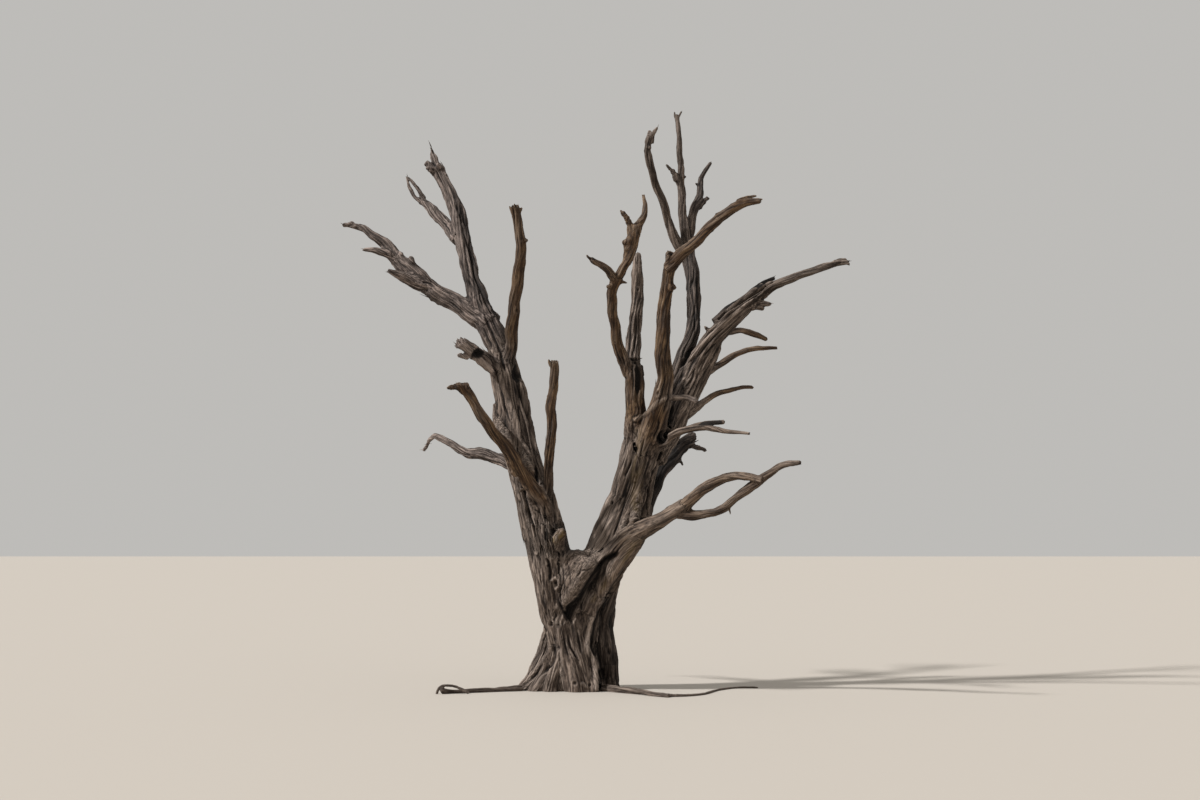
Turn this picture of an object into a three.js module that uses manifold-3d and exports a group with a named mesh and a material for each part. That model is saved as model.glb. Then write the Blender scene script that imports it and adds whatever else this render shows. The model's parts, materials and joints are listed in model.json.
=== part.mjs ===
// A dead tree on level ground, in millimetres, +Z up, +X to the right, +Y to the back.
// The origin is on the ground under the middle of the trunk.

import * as THREE from 'three';
import Module from 'manifold-3d';

const wasm = await Module();
wasm.setup();

// The tree's front view is drawn on an upright plane through the origin, as an eye sees it
// from this far in front of the trunk. A limb leans out of that plane by its depth.
const EYE_X = 190;
const EYE_HEIGHT = 1600;
const EYE_DISTANCE = 19070;

// Where limbs meet, each later one is cut back to the earlier one, with this gap.
const GAP = 0.3;

// A limb's faceted section: three shallow flutes that wind round it, as the grain does.
const FLUTES = 3;
const FLUTE_DEPTH = 0.06;
const TWIST_PER_METRE = 0.5;

// Facet rings stand this many diameters apart, and no closer than the shortest step.
const RING_SPACING = 1.6;
const SHORTEST_STEP = 150;
const TIP_BLUNTNESS = 0.5;

// Limbs sway towards and away from the front by this share of their length, each its own way.
const SWAY = 0.04;
const SWAY_BENDS = 1.6;
const TURN_BETWEEN_LIMBS = 2.4;

// Cuts leave no edge shorter than this.
const SHORTEST_EDGE = 0.1;

// Nothing of the tree reaches below the ground. This block is cut away from its foot.
const GROUND_SIZE = 6000;
const GROUND_DEPTH = 1000;

const bark = (color) => new THREE.MeshStandardMaterial({ color, roughness: 0.9, metalness: 0 });
const weathered = bark('#695c51');
const silver = bark('#7c7168');
const brown = bark('#574735');
const charred = bark('#433a33');

const tree = new THREE.Group();
const grown = new Map();

// The point in space that shows at (x, z) on the front view when it lies at this depth.
function place(x, z, depth) {
  const spread = (EYE_DISTANCE + depth) / EYE_DISTANCE;
  const realX = EYE_X + (x - EYE_X) * spread;
  const realZ = EYE_HEIGHT + (z - EYE_HEIGHT) * spread;
  return new THREE.Vector3(realX, depth, realZ);
}

// How far a point in space lies from where (x, z) shows, measured on the front view.
function offsetInView(point, x, z) {
  const spread = (EYE_DISTANCE + point.y) / EYE_DISTANCE;
  const viewX = EYE_X + (point.x - EYE_X) / spread;
  const viewZ = EYE_HEIGHT + (point.z - EYE_HEIGHT) / spread;
  return Math.hypot(viewX - x, viewZ - z);
}

// The depth of a middle line where it passes closest to (x, z) on the front view.
function depthOn(line, x, z) {
  const points = line.getSpacedPoints(80);
  let nearest = points[0];
  for (const point of points) {
    if (offsetInView(point, x, z) < offsetInView(nearest, x, z)) nearest = point;
  }
  return nearest.y;
}

// A value that runs through the list at even steps, as t goes from 0 to 1.
function along(list, t) {
  const place = t * (list.length - 1);
  const index = Math.min(Math.floor(place), list.length - 2);
  return THREE.MathUtils.lerp(list[index], list[index + 1], place - index);
}

// How far along its course each point of a strand lies, from 0 to 1.
function shares(course) {
  const lengths = [0];
  for (let i = 1; i < course.length; i += 1) {
    const step = Math.hypot(course[i][0] - course[i - 1][0], course[i][1] - course[i - 1][1]);
    lengths.push(lengths[i - 1] + step);
  }
  const whole = lengths[lengths.length - 1];
  return lengths.map((length) => length / whole);
}

function curveThrough(course, depths) {
  const points = course.map(([x, z], i) => place(x, z, depths[i]));
  return new THREE.CatmullRomCurve3(points, false, 'centripetal');
}

// A limb's main strand leans from one depth to another, and sways a little on its way.
function mainLine({ course, from, reach }) {
  const first = place(...course[0], from);
  const tip = place(...course[course.length - 1], reach);
  const sway = SWAY * first.distanceTo(tip) * Math.cos(grown.size * TURN_BETWEEN_LIMBS);
  const depths = shares(course).map((t) => (
    THREE.MathUtils.lerp(from, reach, t) + sway * Math.sin(Math.PI * SWAY_BENDS * t)
  ));
  return curveThrough(course, depths);
}

// A strand that has fused with a limb follows the limb's depth, set off by beside, and may
// lean away from it by lean at its own tip.
function fusedLine({ course, beside = 0, lean = 0 }, main) {
  const t = shares(course);
  const depths = course.map(([x, z], i) => depthOn(main, x, z) + beside + lean * t[i]);
  return curveThrough(course, depths);
}

function sidesFor(diameter) {
  if (diameter > 300) return 10;
  if (diameter > 150) return 8;
  if (diameter > 90) return 7;
  return 6;
}

// A closed, tapering, fluted tube along a middle line, as points and triangles. The corners of
// its section stand out a little, so that it is as thick on average as a round one.
function strandSolid(line, thick, growth) {
  const length = line.getLength();
  const mean = thick.reduce((sum, value) => sum + value, 0) / thick.length;
  const rings = Math.max(2, Math.round(length / Math.max(SHORTEST_STEP, RING_SPACING * mean)));
  const sides = sidesFor(Math.max(...thick));
  const cornerShare = Math.sqrt((2 * Math.PI) / (sides * Math.sin((2 * Math.PI) / sides)));
  const frames = line.computeFrenetFrames(rings, false);
  const points = [];
  for (let i = 0; i <= rings; i += 1) {
    const t = i / rings;
    const endwards = i === 0 ? -growth : growth * t;
    const centre = line.getPointAt(t).addScaledVector(frames.tangents[i], endwards);
    const radius = (along(thick, t) / 2) * cornerShare + growth;
    for (let k = 0; k < sides; k += 1) {
      const angle = (2 * Math.PI * k) / sides;
      const wind = 2 * Math.PI * TWIST_PER_METRE * (t * length / 1000);
      const reach = radius * (1 + FLUTE_DEPTH * Math.cos(FLUTES * angle - wind));
      const point = centre.clone();
      point.addScaledVector(frames.normals[i], reach * Math.cos(angle));
      point.addScaledVector(frames.binormals[i], reach * Math.sin(angle));
      points.push(point);
    }
  }
  const tipRadius = thick[thick.length - 1] / 2;
  const tip = line.getPointAt(1);
  tip.addScaledVector(frames.tangents[rings], TIP_BLUNTNESS * tipRadius + growth);
  const root = line.getPointAt(0).addScaledVector(frames.tangents[0], -growth);
  points.push(root, tip);

  const faces = [];
  const rootIndex = points.length - 2;
  const tipIndex = points.length - 1;
  const last = rings * sides;
  for (let k = 0; k < sides; k += 1) {
    const next = (k + 1) % sides;
    for (let i = 0; i < rings; i += 1) {
      const low = i * sides;
      const high = low + sides;
      faces.push(low + k, low + next, high + next, low + k, high + next, high + k);
    }
    faces.push(rootIndex, next, k, tipIndex, last + k, last + next);
  }
  const vertProperties = new Float32Array(points.flatMap((point) => point.toArray()));
  const triVerts = new Uint32Array(faces);
  return new wasm.Manifold(new wasm.Mesh({ numProp: 3, vertProperties, triVerts }));
}

function blockBelowGround() {
  const block = new THREE.BoxGeometry(GROUND_SIZE, GROUND_SIZE, GROUND_DEPTH);
  block.translate(0, 0, -GROUND_DEPTH / 2);
  const corners = block.getAttribute('position');
  const keys = new Map();
  const vertProperties = [];
  const triVerts = [];
  for (const index of block.getIndex().array) {
    const corner = [corners.getX(index), corners.getY(index), corners.getZ(index)];
    const key = corner.join();
    if (!keys.has(key)) {
      keys.set(key, keys.size);
      vertProperties.push(...corner);
    }
    triVerts.push(keys.get(key));
  }
  return new wasm.Manifold(new wasm.Mesh({
    numProp: 3,
    vertProperties: new Float32Array(vertProperties),
    triVerts: new Uint32Array(triVerts),
  }));
}

const below = blockBelowGround();

function largestBody(solid) {
  const bodies = solid.decompose();
  bodies.sort((a, b) => b.volume() - a.volume());
  return bodies[0];
}

function meshOf(name, solid, material) {
  const { vertProperties, triVerts } = solid.getMesh();
  const geometry = new THREE.BufferGeometry();
  geometry.setAttribute('position', new THREE.BufferAttribute(vertProperties, 3));
  geometry.setIndex(new THREE.BufferAttribute(triVerts, 1));
  geometry.computeVertexNormals();
  const mesh = new THREE.Mesh(geometry, material);
  mesh.name = name;
  return mesh;
}

// A limb is a main strand with others fused to it, cut back to the limbs made before it.
// Each strand's course is [x, z] points on the front view, and thick its diameters at even
// steps. The main strand starts inside the limb it grows on, and ends at the depth reach.
function limb(name, material, main, ...fused) {
  const [x, z] = main.course[0];
  const from = main.from ?? depthOn(grown.get(main.on).line, x, z);
  const line = mainLine({ ...main, from });
  const strands = [[line, main.thick]];
  for (const strand of fused) strands.push([fusedLine(strand, line), strand.thick]);
  const solidOf = (growth) => (
    wasm.Manifold.union(strands.map(([course, thick]) => strandSolid(course, thick, growth)))
  );
  let solid = solidOf(0).subtract(below);
  for (const earlier of grown.values()) solid = solid.subtract(earlier.solid);
  tree.add(meshOf(name, largestBody(solid).simplify(SHORTEST_EDGE), material));
  grown.set(name, { solid: solidOf(GAP), line });
}

function growTrunk() {
  limb(
    'trunk',
    weathered,
    {
      course: [[20, -160], [-60, 250], [-170, 560], [-255, 930], [-330, 1250], [-400, 1560]],
      thick: [520, 450, 450, 460, 470, 480],
      from: -60,
      reach: 0,
    },
    {
      course: [[-60, -160], [-110, 400], [-140, 900], [-190, 1350]],
      thick: [660, 540, 500, 440],
      beside: 200,
      lean: -80,
    },
    {
      course: [[170, -160], [50, 330], [10, 620], [50, 950], [140, 1200], [250, 1400]],
      thick: [270, 230, 220, 290, 360, 400],
      beside: -30,
      lean: 90,
    },
    { course: [[-240, 830], [-130, 1200], [40, 1490]], thick: [120, 370, 480], beside: -110 },
    { course: [[-70, 900], [-80, 1200], [-50, 1530]], thick: [420, 440, 260], beside: 20 },
    {
      course: [[-830, -70], [-590, 90], [-430, 360], [-320, 700]],
      thick: [110, 180, 210, 240],
      beside: 10,
    },
    {
      course: [[-660, -120], [-480, 90], [-360, 330], [-270, 640]],
      thick: [150, 150, 160, 240],
      beside: -160,
      lean: 120,
    },
    {
      course: [[-400, -160], [-330, 210], [-260, 520]],
      thick: [210, 150, 200],
      beside: -190,
      lean: 80,
    },
    {
      course: [[-560, -160], [-380, 200], [-260, 600]],
      thick: [260, 260, 280],
      beside: 370,
      lean: -190,
    },
  );
  limb('rear_buttress', charred, {
    course: [[240, -160], [245, 340], [190, 620], [170, 790], [245, 1010], [310, 1240]],
    thick: [380, 345, 290, 245, 240],
    from: 330,
    reach: 80,
  });
  limb('left_root', weathered, {
    course: [[-700, 10], [-940, -5], [-1170, -13], [-1360, -22], [-1500, -22], [-1610, 0]],
    thick: [110, 75, 70, 50],
    from: -100,
    reach: -520,
  });
  limb('right_root', weathered, {
    course: [[190, 10], [480, 0], [740, -30], [960, -70]],
    thick: [115, 75, 55, 45],
    from: -150,
    reach: -930,
  });
}

function growLeftStem() {
  limb(
    'left_stem',
    weathered,
    {
      on: 'trunk',
      course: [[-395, 1530], [-440, 1755], [-550, 2155], [-715, 2595], [-815, 3055], [-850, 3500],
        [-955, 3865]],
      thick: [490, 460, 400, 360, 405, 370, 320],
      reach: 250,
    },
    {
      course: [[-320, 1600], [-390, 2090], [-560, 2550], [-680, 3010], [-740, 3400], [-850, 3700]],
      thick: [260, 230, 170, 180, 190, 120],
      beside: -70,
    },
  );
  limb('crotch_stub', brown, {
    on: 'trunk',
    from: -150,
    course: [[-380, 1400], [-320, 1630], [-240, 1800]],
    thick: [230, 180, 120],
    reach: -270,
  });
  limb(
    'left_front_bough',
    brown,
    {
      on: 'left_stem',
      course: [[-390, 1780], [-470, 2130], [-640, 2370], [-850, 2700], [-1060, 2950],
        [-1370, 3470]],
      thick: [200, 155, 138, 130, 115, 110],
      reach: -1300,
    },
    { course: [[-1350, 3410], [-1440, 3455], [-1540, 3440]], thick: [115, 90, 35], lean: -50 },
  );
  limb('left_inner_upright', brown, {
    on: 'left_stem',
    course: [[-400, 1890], [-420, 2240], [-380, 2830], [-380, 3240], [-350, 3470], [-340, 3760]],
    thick: [170, 115, 115, 115, 95],
    reach: -700,
  });
  limb('left_low_bough', silver, {
    on: 'left_stem',
    course: [[-640, 2310], [-895, 2600], [-1070, 2650], [-1345, 2685], [-1700, 2870],
      [-1810, 2770]],
    thick: [210, 155, 145, 125, 80, 48],
    reach: 1000,
  });
}

function growLeftCrown() {
  limb(
    'left_leader',
    silver,
    {
      on: 'left_stem',
      course: [[-910, 3820], [-1180, 4345], [-1325, 4833], [-1402, 5147], [-1487, 5540],
        [-1710, 5997]],
      thick: [320, 290, 190, 215, 170, 160],
      reach: 1300,
    },
    { course: [[-1690, 5930], [-1755, 6133], [-1800, 6300]], thick: [150, 72, 25], lean: 30 },
    { course: [[-1690, 5940], [-1830, 6070]], thick: [135, 80], lean: -60 },
  );
  limb(
    'left_leader_fork',
    silver,
    {
      on: 'left_leader',
      course: [[-1440, 5160], [-1620, 5358], [-1752, 5497], [-1880, 5625]],
      thick: [210, 155, 130, 98],
      reach: 1700,
    },
    {
      course: [[-1850, 5590], [-2000, 5710], [-2030, 5810], [-2070, 5920]],
      thick: [80, 50, 40, 25],
      lean: 60,
    },
    {
      course: [[-1850, 5640], [-1910, 5750], [-1990, 5850], [-2040, 5890]],
      thick: [70, 45, 35, 25],
      lean: 50,
    },
  );
  limb('far_left_bough', silver, {
    on: 'left_leader',
    course: [[-1060, 4160], [-1340, 4362], [-1670, 4515], [-2055, 4815], [-2272, 5063],
      [-2500, 5260], [-2798, 5338]],
    thick: [320, 220, 205, 230, 175, 100, 58],
    reach: 1000,
  });
  limb('far_left_upper_spur', silver, {
    on: 'far_left_bough',
    course: [[-2120, 4900], [-2320, 5010], [-2570, 5050]],
    thick: [160, 100, 34],
    reach: 700,
  });
  limb('far_left_lower_spur', silver, {
    on: 'far_left_bough',
    course: [[-1730, 4570], [-2030, 4700], [-2290, 4790]],
    thick: [190, 150, 46],
    reach: 500,
  });
  limb('left_upright', brown, {
    on: 'left_stem',
    course: [[-880, 3560], [-842, 3930], [-814, 4310], [-737, 4900], [-763, 5300], [-820, 5560]],
    thick: [180, 145, 132, 138, 118, 110],
    reach: -400,
  });
  limb(
    'left_hollow_stub',
    silver,
    {
      on: 'left_stem',
      course: [[-910, 3580], [-1170, 3790], [-1310, 3910], [-1440, 3990]],
      thick: [190, 180, 170, 135],
      reach: -250,
    },
    { course: [[-1200, 3810], [-1440, 3810]], thick: [80, 45], lean: -70 },
  );
}

function growRightStem() {
  limb(
    'right_stem',
    weathered,
    {
      on: 'trunk',
      from: -40,
      course: [[250, 1450], [362, 1694], [440, 1930], [520, 2180], [580, 2440], [630, 2760],
        [650, 3000]],
      thick: [510, 490, 470, 410, 350, 320, 300],
      reach: 100,
    },
    {
      course: [[330, 1500], [510, 1720], [630, 1980], [680, 2260], [740, 2580]],
      thick: [320, 320, 250, 220, 200],
      beside: 20,
    },
    { course: [[560, 2200], [700, 2620], [800, 2880]], thick: [300, 380, 330] },
  );
  limb('low_bough', brown, {
    on: 'trunk',
    course: [[210, 1190], [310, 1430], [450, 1640], [660, 1830], [873, 1908], [1053, 1968],
      [1170, 2100]],
    thick: [370, 365, 325, 245, 168, 160, 155],
    reach: -700,
  });
  limb('low_bough_lower_arm', brown, {
    on: 'low_bough',
    course: [[1080, 2000], [1310, 1981], [1548, 2027], [1808, 2222], [2074, 2402], [2290, 2540],
      [2500, 2580]],
    thick: [130, 98, 96, 98, 104, 78, 48],
    reach: -1600,
  });
  limb('low_bough_upper_arm', brown, {
    on: 'low_bough',
    course: [[1140, 2060], [1314, 2222], [1524, 2366], [1740, 2425], [2050, 2374]],
    thick: [145, 122, 106, 88, 85],
    reach: -1340,
  });
  limb(
    'rear_bough',
    charred,
    {
      on: 'right_stem',
      course: [[660, 1850], [770, 2180], [860, 2400], [990, 2600], [1163, 2782], [1260, 2900]],
      thick: [170, 125, 132, 160, 190, 115],
      reach: 800,
    },
    { course: [[1180, 2790], [1290, 2750], [1400, 2720]], thick: [110, 65, 25], lean: 60 },
  );
  limb(
    'front_twig',
    brown,
    {
      on: 'right_stem',
      course: [[650, 2440], [820, 2720], [970, 2870], [1220, 2955], [1520, 2975], [1918, 2890]],
      thick: [150, 95, 88, 84, 56, 30],
      reach: -900,
    },
    { course: [[1200, 2955], [1410, 3030], [1620, 3060]], thick: [80, 60, 38], lean: 60 },
  );
}

function growInnerRight() {
  limb('inner_right_bough', brown, {
    on: 'right_stem',
    course: [[630, 2760], [598, 3180], [586, 3470], [570, 3690]],
    thick: [300, 250, 204, 205],
    reach: -100,
  });
  limb('inner_right_limb', brown, {
    on: 'inner_right_bough',
    course: [[540, 3600], [406, 3848], [380, 4160], [330, 4480], [382, 4718]],
    thick: [185, 128, 118, 110, 135],
    reach: -550,
  });
  limb('inner_right_arm', brown, {
    on: 'inner_right_limb',
    course: [[365, 4690], [257, 4827], [90, 4940]],
    thick: [112, 80, 62],
    reach: -900,
  });
  limb(
    'inner_right_top',
    brown,
    {
      on: 'inner_right_limb',
      course: [[380, 4690], [497, 4857], [545, 5040], [546, 5180], [590, 5300]],
      thick: [115, 92, 140, 160, 145],
      reach: -450,
    },
    { course: [[560, 5230], [514, 5388], [450, 5480]], thick: [120, 76, 62], lean: -60 },
    {
      course: [[580, 5240], [660, 5370], [720, 5510], [700, 5700]],
      thick: [130, 88, 58, 26],
      lean: 130,
    },
  );
  limb('inner_right_stump', weathered, {
    on: 'inner_right_bough',
    course: [[570, 3620], [574, 3990], [624, 4390], [612, 4690], [630, 5000]],
    thick: [200, 175, 145, 150, 96],
    reach: 400,
  });
}

function growMiddle() {
  limb(
    'middle_bough',
    brown,
    {
      on: 'right_stem',
      course: [[690, 2660], [810, 3040], [920, 3390], [920, 3760], [910, 4220], [1000, 4860]],
      thick: [360, 270, 188, 166, 152, 138],
      reach: -900,
    },
    { course: [[1000, 4790], [988, 5010]], thick: [120, 80], lean: -40 },
  );
  limb('middle_bough_arm', brown, {
    on: 'middle_bough',
    course: [[980, 4820], [1112, 4978], [1297, 5123], [1560, 5419], [1820, 5570], [2062, 5622]],
    thick: [150, 120, 115, 110, 106, 58],
    reach: -1500,
  });
  limb('shoulder_twig', silver, {
    on: 'middle_bough',
    course: [[760, 3120], [900, 3290], [1090, 3320], [1310, 3280]],
    thick: [130, 75, 60, 45],
    reach: -330,
  });
}

function growTop() {
  limb('top_bough', charred, {
    on: 'right_stem',
    course: [[790, 2760], [982, 3156], [1090, 3490], [1204, 3913], [1283, 4280], [1267, 4690],
      [1200, 5098]],
    thick: [300, 270, 236, 180, 167, 168, 175],
    reach: 700,
  });
  limb('top_left_prong', weathered, {
    on: 'top_bough',
    course: [[1190, 4930], [1065, 5150], [964, 5477], [822, 5836], [746, 6190], [776, 6378],
      [860, 6480]],
    thick: [140, 118, 100, 94, 92, 88, 36],
    reach: 300,
  });
  limb(
    'top_middle_prong',
    weathered,
    {
      on: 'top_bough',
      course: [[1220, 5020], [1188, 5252], [1142, 5570], [1118, 6220], [1096, 6640]],
      thick: [170, 110, 92, 70, 54],
      reach: 1000,
    },
    { course: [[1130, 5800], [1041, 5941], [950, 6040]], thick: [100, 62, 28], lean: -90 },
  );
  limb(
    'top_right_prong',
    charred,
    {
      on: 'top_bough',
      course: [[1220, 5120], [1246, 5413], [1344, 5658], [1376, 5882], [1487, 6070]],
      thick: [120, 118, 106, 74, 44],
      reach: 1400,
    },
    { course: [[1330, 5540], [1450, 5650]], thick: [108, 50], lean: 70 },
  );
}

function growFarRight() {
  limb(
    'far_right_bough',
    weathered,
    {
      on: 'right_stem',
      course: [[800, 2600], [910, 2860], [1098, 3277], [1302, 3704], [1520, 4050], [1773, 4318],
        [2103, 4587]],
      thick: [280, 340, 310, 282, 222, 212, 160],
      reach: 200,
    },
    {
      course: [[930, 2780], [1100, 3060], [1280, 3390], [1450, 3700], [1540, 3900]],
      thick: [190, 180, 170, 140, 90],
      beside: 20,
    },
  );
  limb('far_right_arm', weathered, {
    on: 'far_right_bough',
    course: [[2040, 4520], [2300, 4662], [2564, 4752], [2882, 4873], [3084, 4893]],
    thick: [155, 102, 92, 86, 56],
    reach: -150,
  });
  limb('far_right_ridge', charred, {
    on: 'far_right_bough',
    course: [[1510, 4190], [1740, 4400], [1980, 4580], [2230, 4720]],
    thick: [110, 90, 80, 40],
    reach: 260,
  });
  limb('far_right_spur', weathered, {
    on: 'far_right_bough',
    course: [[1920, 4450], [2060, 4410], [2180, 4400]],
    thick: [120, 95, 36],
    reach: 60,
  });
  limb('right_upper_twig', brown, {
    on: 'far_right_bough',
    course: [[1560, 4080], [1830, 4084], [1970, 4054], [2120, 3990]],
    thick: [95, 68, 74, 52],
    reach: 500,
  });
  limb('right_second_twig', brown, {
    on: 'far_right_bough',
    course: [[1380, 3600], [1607, 3717], [1826, 3832], [2003, 3889], [2240, 3890]],
    thick: [130, 82, 72, 62, 36],
    reach: 800,
  });
  limb('right_third_twig', brown, {
    on: 'far_right_bough',
    course: [[1180, 3130], [1393, 3287], [1593, 3379], [1773, 3429], [1950, 3440]],
    thick: [130, 82, 68, 56, 38],
    reach: 650,
  });
}

growTrunk();
growLeftStem();
growLeftCrown();
growRightStem();
growInnerRight();
growMiddle();
growTop();
growFarRight();

export default tree;
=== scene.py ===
import json
import math
import time
from itertools import product

import bpy
import numpy as np
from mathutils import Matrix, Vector
from mathutils.bvhtree import BVHTree
from mathutils.geometry import tessellate_polygon
from mathutils.kdtree import KDTree


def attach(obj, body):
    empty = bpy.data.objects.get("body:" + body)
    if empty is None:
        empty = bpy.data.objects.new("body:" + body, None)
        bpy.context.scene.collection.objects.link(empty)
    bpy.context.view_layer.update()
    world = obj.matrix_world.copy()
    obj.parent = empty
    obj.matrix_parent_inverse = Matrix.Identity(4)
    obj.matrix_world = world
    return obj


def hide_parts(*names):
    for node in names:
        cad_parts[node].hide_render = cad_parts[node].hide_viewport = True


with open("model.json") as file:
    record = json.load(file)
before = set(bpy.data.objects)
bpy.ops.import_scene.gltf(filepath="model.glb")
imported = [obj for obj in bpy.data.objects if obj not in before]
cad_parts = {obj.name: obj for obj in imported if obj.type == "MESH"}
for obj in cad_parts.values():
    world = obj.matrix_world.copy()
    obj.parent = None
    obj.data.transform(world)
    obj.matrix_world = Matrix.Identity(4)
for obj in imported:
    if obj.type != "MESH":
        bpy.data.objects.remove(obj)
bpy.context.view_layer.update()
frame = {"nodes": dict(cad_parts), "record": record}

mm = 0.001
started = time.time()

# A dead desert tree. Its limbs come from the frame as plain solids. Here they are fused into
# one skin, rounded, furrowed along the grain, broken at the tips and cut into pieces again.
# Places are given as x, z in millimetres on the front view, the upright plane through
# the foot of the trunk, as seen from the eye.


def report(text):
    print(f"{time.time() - started:6.1f} s  {text}")


def addObject(name, data):
    obj = bpy.data.objects.new(name, data)
    bpy.context.scene.collection.objects.link(obj)
    return obj


def addAttribute(mesh, name, values):
    # one value or one vector for each point of the mesh
    kind, field = ("FLOAT_VECTOR", "vector") if values.ndim > 1 else ("FLOAT", "value")
    mesh.attributes.new(name, kind, "POINT").data.foreach_set(field, values.astype(np.float32).ravel())


def modifiedMesh(obj):
    # what an object's modifiers make of its mesh; the object itself is removed
    seen = obj.evaluated_get(bpy.context.evaluated_depsgraph_get())
    mesh = bpy.data.meshes.new_from_object(seen)
    bpy.data.objects.remove(obj)
    return mesh


# the photographer's eye, as far right of, back from and above the foot of the trunk, in metres
eye = {"x": 0.190, "back": 19.070, "height": 1.600, "tiltDeg": 5.0735, "lensMm": 50, "sensorMm": 36}
eyePoint = np.array([eye["x"], -eye["back"], eye["height"]])


def seenPoint(x, z, depth=0.0):
    # the point in space that shows at x, z when it lies at this depth
    spread = (eye["back"] + depth) / eye["back"]
    realX = eye["x"] + (x * mm - eye["x"]) * spread
    realZ = eye["height"] + (z * mm - eye["height"]) * spread
    return np.array([realX, depth, realZ])


def seenFrom(points):
    # x, z on the front view, in millimetres, for many points in space
    spread = (eye["back"] + points[:, 1]) / eye["back"]
    x = eye["x"] + (points[:, 0] - eye["x"]) / spread
    z = eye["height"] + (points[:, 2] - eye["height"]) / spread
    return np.column_stack([x, z]) / mm


def unit(vectors):
    lengths = np.linalg.norm(vectors, axis=-1, keepdims=True)
    return vectors / np.maximum(lengths, 1e-12)


def smoothStep(values, low, high):
    t = np.clip((values - low) / (high - low), 0, 1)
    return t * t * (3 - 2 * t)


def stepsOf(line):
    return np.linalg.norm(np.diff(line, axis=0), axis=1)


def placesAlong(line):
    # how far along a line each of its points lies, from 0 to 1
    place = np.concatenate([[0], np.cumsum(stepsOf(line))])
    return place / place[-1]


def resample(line, count):
    place = placesAlong(line)
    wanted = np.linspace(0, 1, count)
    return np.column_stack([np.interp(wanted, place, values) for values in line.T])


def lengthOf(line):
    return stepsOf(line).sum()


lineStepMm = 20


def smoothLine(line):
    # rounds a line of few points into one of many
    dense = resample(line, max(int(lengthOf(line) / (lineStepMm * mm)), 8))
    window = max(len(dense) // (2 * len(line)), 1)
    kernel = np.ones(2 * window + 1) / (2 * window + 1)
    for _ in range(2):
        before = 2 * dense[0] - dense[window:0:-1]
        beyond = 2 * dense[-1] - dense[-2:-window - 2:-1]
        padded = np.vstack([before, dense, beyond])
        dense = np.column_stack([np.convolve(values, kernel, "valid") for values in padded.T])
    return dense


# the frame's solids, as one list of triangles

nodeNames = sorted(frame["nodes"])
slotOf = {part["node"]: part["material_slot"] for part in frame["record"]["subparts"]}
finishNames = ["weathered_wood", "silvered_wood", "brown_wood", "dark_wood"]


def byFinish(weathered, silvered, brown, dark):
    return dict(zip(finishNames, (weathered, silvered, brown, dark)))


def numbersOf(collection, name, kind, width=1):
    values = np.empty(len(collection) * width, kind)
    collection.foreach_get(name, values)
    return values.reshape(-1, width) if width > 1 else values


def gatherSolids():
    points = []
    faces = []
    owner = []
    count = 0
    for index, name in enumerate(nodeNames):
        mesh = frame["nodes"][name].data
        points.append(numbersOf(mesh.vertices, "co", np.float32, 3))
        faces.append(numbersOf(mesh.loops, "vertex_index", np.int32).reshape(-1, 3) + count)
        owner.append(np.full(len(faces[-1]), index))
        count += len(points[-1])
    return np.concatenate(points).astype(float), np.concatenate(faces), np.concatenate(owner)


solidPoints, solidFaces, solidOwner = gatherSolids()
solidTree = BVHTree.FromPolygons(solidPoints.tolist(), solidFaces.tolist())


def castOnTree(x, z, behind=False, surface=solidTree):
    # where the line of sight through x, z first meets the wood, from the eye or from behind
    towards = unit(seenPoint(x, z) - eyePoint)
    start = eyePoint
    if behind:
        start = eyePoint + towards * 2 * eye["back"]
        towards = -towards
    hit = surface.ray_cast(Vector(start), Vector(towards))[0]
    return None if hit is None else np.array(hit)


# small spurs and stubs, added before the limbs are fused

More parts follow.
